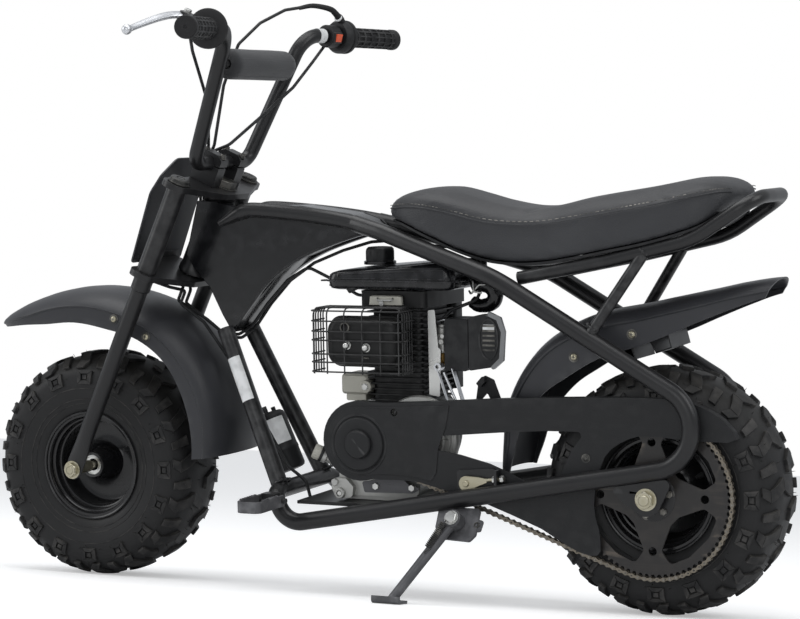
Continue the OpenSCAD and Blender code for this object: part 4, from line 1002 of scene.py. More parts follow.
cap_rings = [lobed(r, z, depth=d) for r, z, d in ((18, 494.4, 0), (21, 495, .01), (21.2, 498, .04), (21.2, 509, .04),
                                                  (20.4, 513, .035), (18, 515.6, .02), (12, 516.2, 0), (1, 516.3, 0))]
piece("filler_cap_grip", moved(skin(cap_rings), Matrix.Translation((448, 0, 0))), plastic_black, smooth=50,
      replaces="fuel_cap")
piece("filler_neck", moved(turned([(24, 490), (24, 494.6), (22, 495.6), (17, 495.8)], 40), Matrix.Translation((448, 0, 0))), gloss_black)
print("cap lobes", 8)

# %% [markdown]
# ## Shroud, blower and starter cover
# A sheet shroud guides the fan's air over the cylinder. On the right it ends
# in the round blower housing with the starter cover on it, whose slots let the
# air in. The slots are raised ribs round the lathe form, one shape turned in a loop.

# %% Shroud and blower
shroud_top = skin([plan(353, 459, -99, 49, z, r) for z, r in ((429.4, 8), (431, 9), (450, 9), (454, 7))])
shroud_skirt = skin([plan(357, 455, -99, -66, z, 8) for z in (300, 429.6)])
blower = moved(turned([(0.1, -117), (66, -117), (74, -116), (78.5, -112), (79.5, -106), (79.5, -80), (77, -78.6), (0.1, -78.6)], 72),
               about_y(446, 233))
starter = moved(turned([(62, -117.6), (60, -119), (58.5, -121), (53, -129), (50, -131), (36, -131.8), (34, -130.6), (30, -130.6),
                        (28, -131.8), (10, -131.9), (0.1, -131.9)], 64), about_y(446, 233))
piece("blower_housing", join(shroud_top, shroud_skirt, blower), engine_black, bevel=0.8, replaces="blower_shroud")
piece("starter_cover", starter, engine_black, smooth=50)
vent_ribs = []
for k in range(30):
    turn = Matrix.Rotation(k * math.tau / 30, 4, "Y")
    vent_ribs.append(moved(tube([(39, -131.4, 0), (52, -130.2, 0)], 1.1, 8), Matrix.Translation((446, 0, 233)) @ turn))
cover_bolts = [moved(prism(6, 5, 0, 4, 0.6), Matrix.Translation((446, -117.4, 233)) @ Matrix.Rotation(a, 4, "Y")
                     @ Matrix.Translation((69, 0, 0)) @ Matrix.Rotation(math.radians(90), 4, "X")) for a in (0.7, 2.3, 3.9, 5.4)]
piece("starter_vent_ribs", join(*vent_ribs), engine_black)
piece("starter_cover_bolts", join(*cover_bolts), zinc_bright, smooth=30)
print("vent ribs", len(vent_ribs))

# %% [markdown]
# ## Cylinder with cooling fins
# Fins are thin plates cast with the barrel. One rounded outline is repeated up
# the barrel at an even pitch; the gaps between stay dark by themselves.

# %% Fins, head and rocker cover
fins = [skin([plan(364, 444, -58, 40, z, 8) for z in (288.6, 428)])]
for k in range(17):
    z = 292 + 8.1 * k
    trim = 0 if k > 3 else 3 - k
    fins.append(skin([plan(355 + trim, 453 - trim, -63, 47 - trim, z, 9), plan(356 + trim, 452 - trim, -62, 46.4 - trim, z + 2.4, 9)]))
piece("cylinder_fins", join(*fins), engine_black, bevel=0.5, replaces="cylinder_barrel")
piece("rocker_cover", skin([plan(386, 440, 50.4, 60, 434, 4), plan(387, 439, 50.4, 59, 446, 4), plan(390, 436, 50.4, 57, 447.5, 3)]),
      cover_cast, bevel=0.8)
piece("head_clip", join(tube(bends([(400, 60, 444), (400, 64, 441), (424, 64, 441), (424, 60, 444)], 3), 1.3, 8),
                        tube([(418, 52, 436), (418, 62, 436)], 4, 6)), zinc_bright)
print("fins", 17)

# %% [markdown]
# ## Muffler inside its wire cage
# The cage keeps hands off the hot muffler: welded wires, level ones wrapped
# round three sides and hoops bent over the top. A bent wire is a tube along a
# path with rounded corners, so two short loops make the whole cage.

# %% Muffler
def side_plan(x0, x1, z0, z1, y, r):
    return [(x, y, z) for x, z in corners([(x0, z0), (x1, z0), (x1, z1), (x0, z1)], r, 15)]


box_rows = [(392, 486, 357, 405, 51, 12), (384, 494, 349, 413, 54, 17), (381, 497, 346, 416, 60, 18), (381, 497, 346, 416, 80, 18),
            (384, 494, 349, 413, 87, 17), (391, 487, 356, 406, 91, 14), (400, 478, 364, 398, 91.8, 10)]
piece("muffler_box", skin([side_plan(*row) for row in box_rows]), engine_black, smooth=60, levels=1, replaces="muffler")
piece("muffler_seam", skin([side_plan(378.6, 499.4, 343.6, 418.4, y, 20) for y in (67.5, 70)]), engine_black, bevel=0.5)
acorn = turned([(6.4, 0), (6.4, 0.9), (5.2, 1), (5.2, 4.6), (4.6, 6.4), (3.1, 8.4), (1.2, 9.3), (0.1, 9.4)], 24)
nuts = [moved(join(acorn, prism(6, 5.9, 1, 4.4, 0.5)), about_y(x, z, 91.6)) for x, z in ((460, 377), (429, 374))]
piece("muffler_acorn_nuts", join(*nuts), zinc_bright, smooth=40)
piece("muffler_outlet", join(moved(turned([(7.5, 0), (7.5, 2.4), (5.6, 2.4), (5.2, -3), (0.1, -3)], 32), about_y(463, 403, 91)),
                             tube([(425, 92.4, 359), (434, 92.4, 359)], 1.2, 8)), black_oxide)
print("muffler depth", 41)

# %% Cage wires
cage_parts = []
for z in (338, 352, 364, 384, 397, 412, 427):
    cage_parts.append(tube(bends([(371, 51, z), (371, 98, z), (517, 98, z), (517, 51, z)], 9, 15), 1.2, 10))
for x in (375, 404, 433, 462, 490, 511):
    cage_parts.append(tube(bends([(x, 96.8, 335), (x, 96.8, 430.6), (x, 51, 430.6)], 11, 15), 1.15, 10))
for y in (57, 65, 73, 81, 89):
    cage_parts.append(tube(bends([(372.2, y, 335), (372.2, y, 431.4), (515.8, y, 431.4), (515.8, y, 335)], 12, 15), 1.15, 10))
piece("cage_wires", join(*cage_parts), wire_black, smooth=60, replaces="muffler_cage")
print("wires", len(cage_parts))

# %% [markdown]
# ## Castings of the crankcase
# The crankcase is bare grey aluminium with cream paint on some covers. Most of
# it hides behind the chain guard, so the parts that show are made with care:
# the round cover's steps, the breather with its bolt lug, filler and drain.

# %% Crankcase and covers
crankcase = join(skin([side_plan(362, 493, 152, 286, y, 16) for y in (-76, -70, 52, 58)]),
                 slab(corners([(372, 146), (488, 146), (494, 168), (366, 168)], 3), -60, 54))
piece("crankcase", crankcase, cast_metal, bevel=1.2, replaces="engine_block")
cover_disc = moved(turned([(62, 44), (62, 50), (60, 53), (54, 54), (52, 57), (44, 58), (42, 60.5), (20, 61), (0.1, 61)], 72), about_y(366, 240))
piece("round_cover", cover_disc, cast_metal, smooth=35)
ribs = [moved(block((30, 60, -1.4), (52, 62.5, 1.4)), Matrix.Translation((366, -3, 240)) @ Matrix.Rotation(a, 4, "Y"))
        for a in np.arange(10) * math.tau / 10]
piece("round_cover_ribs", join(*ribs), cast_metal, bevel=0.6)
breather = skin([side_plan(450, 494, 300, 330, y, 5) for y in (-8, 42)] + [side_plan(453, 491, 303, 327, 45.5, 4)])
foot = skin([side_plan(456, 488, 290, 301, y, 3) for y in (-6, 40)])
lug = moved(turned([(9.5, 38), (9.5, 50), (8.6, 51), (5.4, 51)], 32), about_y(452, 312))
piece("breather_cover", join(breather, foot, lug), cover_cast, bevel=1.2)
piece("breather_bolts", join(moved(join(prism(6, 5.2, 50, 53.4, 0.6), turned([(7, 50), (7, 50.9), (4, 50.9)], 24)), about_y(452, 312)),
                             tube([(470, 20, 286), (470, 20, 293)], 6, 20)), zinc_bright, smooth=30)
print("cover radius", 62)

# %% Filler, drain and base plate
plug_at = along((480, 34, 188), (532, 62.3, 216.3))
length = (Vector((532, 62.3, 216.3)) - Vector((480, 34, 188))).length
piece("oil_neck", moved(join(turned([(9, 0), (9, length - 22), (11.5, length - 20), (11.5, length - 14), (7, length - 14)], 32)), plug_at), cast_metal)
plug_knurl = skin([[(r * (1 + 0.03 * math.cos(18 * a)) * math.cos(a), r * (1 + 0.03 * math.cos(18 * a)) * math.sin(a), length + h)
                    for a in np.arange(90) * math.tau / 90] for r, h in ((9, -10), (11, -9.5), (11, -1), (10, 0.4), (5, 0.8))])
piece("oil_plug", moved(plug_knurl, plug_at), cover_cast, smooth=45)
piece("oil_plug_seal", moved(turned([(12.2, length - 14), (12.6, length - 12.2), (12.2, length - 10), (8, length - 10)], 32), plug_at), plastic_black)
boss = join(slab(corners([(468, 150), (494, 147), (502, 164), (497, 178), (478, 178), (466, 166)], 5), 52, 68),
            moved(turned([(8, 66), (8, 72), (7, 73), (4.6, 73), (4.4, 69), (0.1, 69)], 32), about_y(487, 156)))
piece("drain_boss", boss, cast_metal, bevel=1.0)
piece("drain_bolts", join(moved(prism(6, 6, 67.6, 72, 0.7), about_y(495, 172)), moved(prism(6, 4, 69, 72, 0.5), about_y(487, 156))),
      zinc_bright, smooth=30)
base = slab(corners([(301, 140), (549, 140), (549, 145), (301, 145)], 1), -87.5, 87.5)
piece("engine_base", base, satin_black, bevel=0.8, replaces="engine_plate")
bracket = slab(corners([(352, 170), (366, 162), (444, 160), (448, 176), (430, 178), (412, 186), (384, 184), (372, 174)], 3), 72, 75.4,
               [ring(367, 170, 4, 16), ring(425, 170, 4, 16)])
piece("base_side_bracket", bracket, grey_steel, bevel=0.6)
base_bolts = [moved(join(prism(6, 6.5, 0, 4.6, 0.7), turned([(9, -0.6), (9, 0.4), (5, 0.4)], 24)), Matrix.Translation((x, y, 154)))
              for x in (380, 476) for y in (-52, 44)]
piece("base_bolts", join(*base_bolts, *[moved(prism(6, 5.4, 75, 79, 0.6), about_y(x, 170)) for x in (367, 425)]), zinc_bright, smooth=30)
print("base bolts", len(base_bolts))

# %% [markdown]
# ## Carburettor, governor parts and air cleaner
# Small bright parts tell the eye that this is a real engine: a chromed sheet
# bracket, linkage straps, a carburettor with its fuel bowl, and the plastic air
# cleaner whose slanted cover has an oval vent with slots and a clear rim.

# %% Carburettor
at_carb = Matrix.Translation((341.5, 17, 0))
body = join(skin([plan(331, 352.6, 1, 33, z, 5) for z in (363, 391)]), moved(turned([(10.6, 391), (10.6, 398), (8.4, 400), (8.4, 404), (0.1, 405)], 28), at_carb),
            tube([(328, 17, 376), (356, 17, 376)], 11, 24), tube([(334, 33, 380), (334, 40, 380)], 4, 14))
piece("carburettor_body", body, cast_metal, bevel=0.8, replaces="carburettor")
piece("carburettor_bowl", moved(turned([(0.1, 343), (5, 343.6), (9.6, 346), (10.4, 350), (10.4, 361), (11.6, 362), (11.6, 363.6)], 32), at_carb), amber)
piece("carburettor_screws", join(moved(prism(6, 3.6, 340, 344, 0.5), at_carb), tube([(350, 34.2, 370), (350, 37, 370)], 3, 12),
                                 tube([(333, 34.2, 388), (333, 37, 388)], 3, 12)), zinc_bright, smooth=30)
print("bowl depth", 20)

# %% Governor bracket, straps and choke lever
sheet = join(slab(corners([(336, 300), (352, 303), (352.6, 426), (342, 427), (337, 372), (333, 369)], 2), 41, 42.6),
             block((350.8, 36, 306), (352.4, 42, 425)))
piece("governor_bracket", sheet, zinc_bright, bevel=0.4)


def strap(a, b, wide=5, thick=1.6):
    m = along(a, b)
    n = (Vector(b) - Vector(a)).length
    return moved(block((-wide, -thick / 2, 0), (wide, thick / 2, n)), m)


straps = join(strap((338, 44, 342), (322, 44, 292), 3), strap((316, 38, 342), (300, 38, 292), 5.5), tube([(330, 40, 336), (308, 40, 288)], 2, 10),
              tube(bends([(346, 30, 408), (332, 30, 412), (322, 30, 404), (318, 30, 390)], 4), 1.2, 8),
              moved(turned([(6, 34), (6, 47), (3, 47)], 24), about_y(337, 344)))
piece("governor_straps", straps, alloy, bevel=0.3)
lever_arm = slab(corners([(276, 322), (266, 333), (252, 327), (240, 296), (256, 296), (262, 308), (272, 297), (280, 297)], 2), 36, 39)
lever_fold = slab(corners([(276, 322), (266, 333), (262, 325), (270, 316)], 1.5), 36, 48)
piece("bent_lever", join(lever_arm, lever_fold, tube([(258, 37, 296), (300, 37, 270)], 3, 10)), plastic_black, bevel=0.6)
print("straps", 3)

# %% Air cleaner
case = join(skin([side_plan(291, 329, 338, 414, y, r) for y, r in ((-13, 5), (-11, 7), (37, 7), (39, 5))]))
cover_outline = [(289, 339), (289, 417), (262, 423), (243, 415), (235, 396), (238, 357), (251, 345)]
cover_line = corners(cover_outline, [3, 4, 9, 9, 9, 9, 9])


def cover_ring(y, inset):
    """The cover's outline, drawn in towards the case as it goes to the right side."""
    return [(x + (290 - x) * inset, y, 380 + (z - 380) * (1 - inset * 0.25)) for x, z in cover_line]


cover_side = skin([cover_ring(-16, 0.5), cover_ring(-13, 0.42), cover_ring(30, 0.1), cover_ring(41, 0.02), cover_ring(43, 0.06)])
piece("air_cleaner_case", join(case, cover_side), plastic_black, bevel=2.0, replaces="airbox")
clear_lip = [(x, z) for x, z in corners([(268, 422.4), (256, 425.4), (238, 417.6), (231.5, 397), (234.5, 355), (249, 342.6), (262, 341),
                                         (252, 348), (241, 358.5), (237.6, 396), (244.6, 413.6), (262, 421)], 3)]
piece("air_cleaner_lip", slab(clear_lip, 38, 43.6), smoky_clear, bevel=0.6)
oval = [(257 + 15.5 * math.cos(a), 43.0, 386 + 30 * math.sin(a)) for a in np.arange(48) * math.tau / 48]
oval_in = [(257 + 13.2 * math.cos(a), 43.9, 386 + 27.4 * math.sin(a)) for a in np.arange(48) * math.tau / 48]
piece("air_cleaner_oval", skin([oval, [(x, 44.3, z) for x, y, z in oval], oval_in, [(x, 42.6, z) for x, y, z in oval_in]], caps=False), plastic_black, smooth=40)
slats = [moved(block((-9.5, 0, -1.5), (9.5, 1.0, 1.5)), Matrix.Translation((257, 43.0, 370 + 7 * k))) for k in range(6)]
piece("air_cleaner_slats", join(*slats), black_oxide, bevel=0.4)
piece("air_cleaner_blank_label", slab(corners([(248, 397), (266, 397), (266, 407), (248, 407)], 2), 43.1, 43.6), label_white)
print("slats", len(slats))

# %% Bent fuel bend behind the tank
elbow = tube(smooth_path([(301, -6, 462), (288, -6, 463), (272, -6, 458), (266, -6, 446), (272, -6, 434), (290, -6, 430), (303, -6, 436)], 5),
             [11, 12, 12, 12, 12, 12.5, 12.5, 12.5, 12.5, 12.5, 12.5, 12.5, 12.5, 12, 12, 12, 11.5, 11.5, 11.5, 11.5, 11, 11, 10.5, 10.5, 10, 10, 10, 10, 9.5, 9.5, 9], 24)
piece("tank_rear_bend", elbow, gloss_black, smooth=60)
hooks = [bends([(304, 8, 470), (294, 12, 468), (292, 14, 452), (280, 12, 450)], 4), bends([(304, 2, 452), (298, 10, 448), (284, 12, 462), (276, 8, 462)], 4)]
piece("tank_rear_hooks", join(*[tube(h, 1.5, 10) for h in hooks]), zinc_bright)
print("hooks", len(hooks))

# %% [markdown]
# ## The chain guard
# One plastic moulding hides the clutch and the chain's upper run. Its face is a
# plate cut to the outline with a long window; a wall turns in along the top edge
# and round the nose, and a second step and the clutch cap stand up from the face.

# %% Guard face and wall
nose = [(444 + 58.5 * math.cos(math.radians(a)), 237.5 + 58.5 * math.sin(math.radians(a))) for a in range(100, -111, -10)]
guard_top = [(-125, 262), (-120, 272), (-106, 287), (-94, 295), (-80, 302), (-59, 310), (-30, 313.5), (13, 314.5), (84, 312.5), (161, 309.5),
             (230, 305.5), (299, 300.5), (360, 296.5), (404, 294.5)]
guard_low = [(412, 182), (380, 183), (349, 181), (309, 172), (250, 157), (205, 141), (161, 124), (140, 112), (122, 102), (104, 94), (88, 90),
             (78, 91), (73, 98), (73, 112), (75, 127), (80, 145), (82, 162), (80, 183), (76, 204), (65, 230), (56, 241), (43, 250), (28, 257),
             (14, 261), (-15, 261), (-58, 257), (-112, 257)]
guard_face = guard_top + nose + guard_low
window = corners([(362, 243), (332, 231), (285, 224), (239, 213), (208, 201), (172, 184), (150, 178), (134, 186), (128, 209), (114, 238),
                  (93, 264), (154, 263), (223, 258), (332, 248)], [2, 20, 20, 20, 20, 12, 8, 8, 12, 12, 6, 20, 30, 30])
guard = slab(guard_face, 86.6, 89.6, [window, ring(387, 281, 5.5, 24), ring(93, 227, 3, 12)])


def wall(path, y0, y1, thick=2.4):
    """A strip that turns in from a face along a path of x and z."""
    rings = []
    for i, (x, z) in enumerate(path):
        a, b = path[max(i - 1, 0)], path[min(i + 1, len(path) - 1)]
        n = Vector((b[1] - a[1], 0, a[0] - b[0])).normalized() * thick
        rings.append([(x, y0, z), (x, y1, z), (x + n.x, y1, z + n.z), (x + n.x, y0, z + n.z)])
    return skin(rings)


guard_walls = join(wall(guard_top + nose[:18], 74.5, 88), wall(guard_low[:9], 80, 88))
piece("guard_moulding", join(guard, guard_walls), plastic_black, bevel=1.1, replaces="chain_guard")
step_nose = [(444 + 51 * math.cos(math.radians(a)), 237.5 + 51 * math.sin(math.radians(a))) for a in range(96, -106, -8)]
step_face = [(300, 294), (372, 290.5), (420, 289)] + step_nose + [(412, 190), (380, 190), (352, 188), (330, 184), (322, 196), (318, 232), (306, 262)]
piece("guard_step", slab(step_face, 89.0, 90.8, [ring(387, 281, 5.5, 24)]), plastic_black, bevel=1.2)
slot_web = moved(block((-6, 84, -1.2), (6, 86.4, 1.2)), Matrix.Translation((387, 0, 281)) @ Matrix.Rotation(math.radians(60), 4, "Y"))
piece("guard_slot_web", slot_web, plastic_black)
clutch_cap = turned([(45, 90.4), (44, 91.6), (41.5, 91.8), (40, 90.9), (39.2, 90.9), (38.6, 92.8), (36.8, 94.2), (35, 94.4), (24, 94.4), (22.6, 93.8),
                     (21.4, 93.8), (20.6, 97.4), (18.8, 99.2), (17, 99.5), (0.1, 99.5)], 72)
piece("clutch_cap", moved(clutch_cap, about_y(444, 233)), plastic_black, smooth=30)
print("guard outline points", len(guard_face))

# %% Guard bolt
head, mark = pan_bolt(4.2, 2.4, 6.4)
piece("guard_bolt", moved(head, about_y(93, 227, 89.6)), black_oxide, smooth=40)
piece("guard_bolt_recess", moved(mark, about_y(93, 227, 89.6)), black_oxide)
print("bolt at", (93, 227))

# %% [markdown]
# ## Chain and sprocket
# A roller chain is two kinds of link in turn: narrow inner plates on rollers,
# wide outer plates on pins. The pins' places are worked out once round both
# sprockets, and then every link is the same figure-eight plate laid between two.

# %% Pin places round both sprockets
REAR_R, CLUTCH_R, CHAIN_Y = 115.245, 16.904, 78
top_a, low_a = 84.6494, -70.0833


def on_circle(x, z, r, a):
    return Vector((x + r * math.cos(math.radians(a)), 0, z + r * math.sin(math.radians(a))))


pins = [on_circle(0, 176, REAR_R, top_a + (low_a + 360 - top_a) * i / 44) for i in range(44)]
pins += [on_circle(0, 176, REAR_R, low_a).lerp(on_circle(446, 233, CLUTCH_R, low_a), i / 46) for i in range(46)]
pins += [on_circle(446, 233, CLUTCH_R, low_a + (top_a - low_a) * i / 6) for i in range(6)]
pins += [on_circle(446, 233, CLUTCH_R, top_a).lerp(on_circle(0, 176, REAR_R, top_a), i / 46) for i in range(46)]
print("pins", len(pins))

# %% Link plates, rollers and pins
plate_parts, roller_parts = [], []
for i, a in enumerate(pins):
    b = pins[(i + 1) % len(pins)]
    reach = (b - a).length
    along_link = math.atan2(b.z - a.z, b.x - a.x)
    eight = [(-2.2, -2.4), (0, -3.3), (2.1, -2.5), (reach / 2, -1.5), (reach - 2.1, -2.5), (reach, -3.3), (reach + 2.2, -2.4), (reach + 3.1, 0),
             (reach + 2.2, 2.4), (reach, 3.3), (reach - 2.1, 2.5), (reach / 2, 1.5), (2.1, 2.5), (0, 3.3), (-2.2, 2.4), (-3.1, 0)]
    flat = [(a.x + u * math.cos(along_link) - v * math.sin(along_link), a.z + u * math.sin(along_link) + v * math.cos(along_link)) for u, v in eight]
    off = 4.2 if i % 2 == 0 else 3.0
    for s in (1, -1):
        y = CHAIN_Y + s * off
        plate_parts.append(skin([[(x, y - 0.5, z) for x, z in flat], [(x, y + 0.5, z) for x, z in flat]]))
    roller_parts.append(tube([(a.x, CHAIN_Y - 2.5, a.z), (a.x, CHAIN_Y + 2.5, a.z)], 2.5, 10))
    roller_parts.append(tube([(a.x, CHAIN_Y - 5.3, a.z), (a.x, CHAIN_Y + 5.3, a.z)], 1.25, 8))
piece("chain_plates", join(*plate_parts), chain_steel, smooth=40, replaces="chain")
piece("chain_rollers", join(*roller_parts), black_oxide, smooth=50)
print("plates", len(plate_parts))

# %% Rear sprocket with its windows
teeth = []
for i in range(76):
    for share, r in ((0.0, 108.4), (0.2, 108.4), (0.38, 112.2), (0.5, 112.6), (0.62, 112.2), (0.8, 108.4)):
        a = (i + share) * math.tau / 76
        teeth.append((r * math.cos(a), 176 + r * math.sin(a)))
cuts = []
for k in range(4):
    mid = math.radians(45 + 90 * k)
    shape = [(46, -8), (62, -44), (84, -48), (95, -20), (95, 20), (84, 48), (62, 44), (46, 8)]
    cuts.append([(x * math.cos(mid) - z * math.sin(mid), 176 + x * math.sin(mid) + z * math.cos(mid))
                 for x, z in corners(shape, [6, 8, 8, 12, 12, 8, 8, 6])])
    around = math.radians(90 * k)
    cuts.append(ring(76 * math.cos(around), 176 + 76 * math.sin(around), 6, 20))
piece("sprocket_plate", slab(teeth, 76.2, 79.8, cuts + [ring(0, 176, 9, 24)]), sprocket_black, "rear_wheel", bevel=0.4, replaces="rear_sprocket")
hub = moved(turned([(9, 70), (36, 70), (38, 71), (38, 75.4), (34, 76.2), (34, 80.4), (30, 81.6), (17, 81.8), (15, 84), (9, 84)], 48), about_y(0, 176))
piece("sprocket_carrier", hub, satin_black, "rear_wheel", bevel=0.6)
heads = [moved(join(prism(6, 5.4, 80.4, 85, 0.7), turned([(7.4, 80), (7.4, 81), (4, 81)], 24)), Matrix.Translation((0, 0, 176))
               @ Matrix.Rotation(a, 4, "Y") @ Matrix.Translation((26, 0, 0)) @ Matrix.Rotation(math.radians(-90), 4, "X"))
         for a in np.arange(6) * math.tau / 6 + 0.2]
piece("sprocket_bolts", join(*heads), black_oxide, "rear_wheel", smooth=30)
print("teeth", 76)

# %% [markdown]
# ## Brake drum, axles and dropouts
# The right side of the rear hub carries the drum. Axle ends show the colour
# that people remember: yellow zinc nuts on a black machine.

# %% Drum and band
drum = moved(turned([(9, -58), (46, -58), (50, -59), (51.8, -61), (51.8, -83), (50.5, -85.4), (45, -85.9), (43, -84), (24, -83), (18, -85.8),
                     (9, -85.8)], 72), about_y(0, 176))
piece("drum_casting", drum, engine_black, "rear_wheel", smooth=35, replaces="brake_drum")
band = [(53.4 * math.cos(a), 176 + 53.4 * math.sin(a)) for a in np.radians(np.arange(20, 331, 8))]
band_strip = wall(band, -80, -66, 1.2)
anchor = join(slab(corners([(46, 190), (62, 186), (72, 196), (66, 206), (48, 202)], 3), -82, -78), tube([(58, -87, 196), (58, -76, 196)], 4, 14))
piece("brake_band", join(band_strip, anchor), satin_black, bevel=0.3)
print("band points", len(band))

# %% Axle nuts and ends
def axle_end(r, nut_r, y0, y1, y2):
    washer = turned([(nut_r + 3, y0), (nut_r + 3, y0 + 1.4), (r, y0 + 1.4)], 40)
    return join(washer, prism(6, nut_r, y0 + 1.4, y1, 1.2), turned([(r, y0), (r, y2 - 1), (r - 1, y2), (0.1, y2)], 32),
                turned([(nut_r - 1.6, y1 - 0.6), (nut_r - 1.8, y1 + 0.5), (r, y1 + 0.5)], 32))


rear_end = moved(axle_end(7.5, 12.6, 105.8, 115, 118), about_y(0, 176))
rear_bar = tube([(0, -105, 176), (0, 105, 176)], 7.5, 28)
piece("rear_axle", join(both(rear_end), rear_bar), zinc_yellow, smooth=30, replaces="rear_axle_shaft")
front_end = moved(axle_end(6, 10.9, 108.4, 116, 117), about_y(926, 176))
sleeve = moved(turned([(6, 62.6), (9, 62.6), (9, 99.4), (6, 99.4)], 32), about_y(926, 176))
front_bar = tube([(926, -108, 176), (926, 108, 176)], 6, 28)
piece("front_axle", join(both(join(front_end, sleeve)), front_bar), zinc_yellow, "fork", smooth=30, replaces="front_axle_shaft")
print("axle diameters", 15, 12)

# %% Dropout plates and chain tensioner
drop = slab(corners([(-40, 207), (54, 190), (30, 167), (14, 158), (4, 152), (-8, 153), (-17, 160)], [8, 6, 6, 4, 4, 4, 6]), 100.5, 105.5, [ring(0, 176, 7.6, 24)])
piece("dropout_plates", both(drop), satin_black, bevel=0.9, replaces="rear_dropouts")
bracket_box = join(slab(corners([(225, 166), (287, 163), (289, 202), (230, 207)], 4), 90.4, 92.2), slab([(225, 166), (287, 163), (287, 166), (225, 169)], 90.4, 106),
                   slab(corners([(222, 167), (226, 167), (226, 206), (222, 206)], 1), 90.4, 106))
piece("tensioner_bracket", bracket_box, satin_black, bevel=0.5)
drop_shape = [(272 + 11 * math.cos(a), 184 + 11 * math.sin(a)) for a in np.radians(np.arange(-100, 101, 12))] + [(252, 194), (240, 192), (240, 187), (252, 182)]
piece("tensioner_eye", join(slab(drop_shape, 93.4, 98.6), moved(turned([(4.6, 98), (4.6, 100.6), (3.6, 101.6), (0.1, 101.8)], 24), about_y(272, 184)),
                            tube([(246, 96, 189.4), (214, 96, 193)], 2.6, 14)), zinc_yellow, bevel=0.6, smooth=30)
for n, x in enumerate((231, 219)):
    at = along((x, 96, 189.4 + (246 - x) * 0.1125), (x - 8, 96, 190.3 + (246 - x) * 0.1125))
    piece(f"tensioner_nut_{n + 1}", moved(prism(6, 5.6, 0, 5, 0.8), at), zinc_bright, smooth=30)
print("tensioner at", (272, 184))

# %% [markdown]
# ## Side stand
# The leg is flattened bar with a foot plate that turns up at its outer edge, on
# a pivot bolt through a bracket under the left rail. A spring beside it would
# hold it up or down. Leg, foot and spring ride on the stand's own body.

# %% Bracket and pivot
stand_at = Matrix.Translation((280, 119, 132)) @ Matrix.Rotation(math.radians(-60), 4, "X")


def plate_round(outline, h0, h1, r):
    flat = corners(outline, r)
    return skin([[(x, y, h) for x, y in flat] for h in (h0, h1)])


bracket_plate = plate_round([(-32, -24), (32, -24), (32, 8), (20, 24), (-24, 26), (-32, 16)], -10, -4.2, 5)
tab = plate_round([(-40, -6), (-24, -10), (-24, 12), (-38, 10)], -9, -5, 3)
piece("stand_bracket_plate", moved(join(bracket_plate, tab), stand_at), grey_steel, bevel=0.7, replaces="stand_bracket")
bolt = join(tube([(0, 0, -16), (0, 0, 17)], 5, 24), prism(6, 9.2, 16.8, 22.6, 1), prism(6, 8.4, -16.4, -10.2, 1), turned([(10.6, 16.6), (10.6, 17.8), (5, 17.8)], 28))
piece("stand_pivot_bolt", moved(bolt, stand_at), zinc_bright, smooth=30)
allen = moved(moved(socket_bolt(4.4, 5), Matrix.Translation((-31, 1, -8))), stand_at)
piece("stand_bracket_bolt", allen, black_oxide, smooth=30)
print("pivot tilt", 30)

# %% Leg, foot and spring
root, leg_dir = Vector((280, 124.196, 135)), Vector((0.5, 0.433013, -0.75)).normalized()
foot_at = root + leg_dir * 144.462
leg = tube([root, root + leg_dir * 20, root + leg_dir * 110, foot_at - leg_dir * 2], [9.5, 9.2, 8.6, 8.4], 24, flat=0.82)
eye = moved(turned([(5.6, -3.3), (12.6, -3.3), (13, -2.8), (13, 15.8), (12.4, 16.4), (5.6, 16.4)], 36), stand_at)
foot_frame = Matrix.Translation(foot_at) @ Matrix.Rotation(LEAN, 4, "X")
sole_line = [(-12, -2.5), (16, -2.5), (20, -1.4), (22, 1.6), (22, 8), (19.6, 8.4), (18.6, 4), (15, 1.2), (-12, 1.6)]
sole = skin([[(x, y * shrink, z) for y, z in sole_line] for x, shrink in ((-22, 0.8), (-20, 1), (20, 1), (22, 0.8))])
piece("stand_leg", join(leg, eye), grey_steel, "stand", bevel=0.5, replaces="side_stand")
piece("stand_foot", moved(sole, foot_frame), grey_steel, "stand", bevel=0.6)
coil_from = stand_at @ Vector((6, 2, 19.4))
coil_to = root + leg_dir * 62 + (stand_at.to_3x3() @ Vector((0, 0, 10)))
coil_frame = along(coil_from, coil_to)
coil_len = (coil_to - coil_from).length
coil = [coil_frame @ Vector((4.4 * math.cos(t), 4.4 * math.sin(t), 8 + (coil_len - 16) * t / (math.tau * 16))) for t in np.arange(0, math.tau * 16, 0.45)]
piece("stand_spring", tube([coil_from] + coil + [coil_to, coil_to - (stand_at.to_3x3() @ Vector((0, 0, 5)))], 0.85, 8), black_oxide, "stand", smooth=70)
print("leg length", 144)

# %% [markdown]
# ## Foot pegs
# Each peg is flat bar bent into a U, with teeth along its top so a boot can't
# slip, and it folds up on a pin that a spring winds round.

# %% Peg brackets and pegs
peg_block = join(skin([plan(560, 584, 116.2, 136, z, 3) for z in (139.5, 160.5)]), tube([(545, 129, 150), (599, 129, 150)], 4, 20),
                 moved(prism(6, 6.4, 0, 5, 0.8), along((599, 129, 150), (604, 129, 150))))
piece("peg_mounts", both(peg_block), satin_black, bevel=0.8, replaces="peg_brackets")
u_line = corners([(552, 121), (552, 200), (592, 200), (592, 121), (588, 121), (588, 196), (556, 196), (556, 121)], [1, 12, 12, 1, 1, 8, 8, 1])
u_bar = skin([[(x, y, z) for x, y in u_line] for z in (141, 157.6)])
notches = [block((x, y, 157.2), (x + 4, y + 3.4, 159.6)) for x in (552, 588) for y in range(140, 186, 7)]
peg_shape = join(u_bar, *notches)
piece("peg_left_bar", peg_shape, grey_steel, "left_footpeg", bevel=0.5, replaces="left_peg")
piece("peg_right_bar", mirrored(peg_shape), grey_steel, "right_footpeg", bevel=0.5, replaces="right_peg")
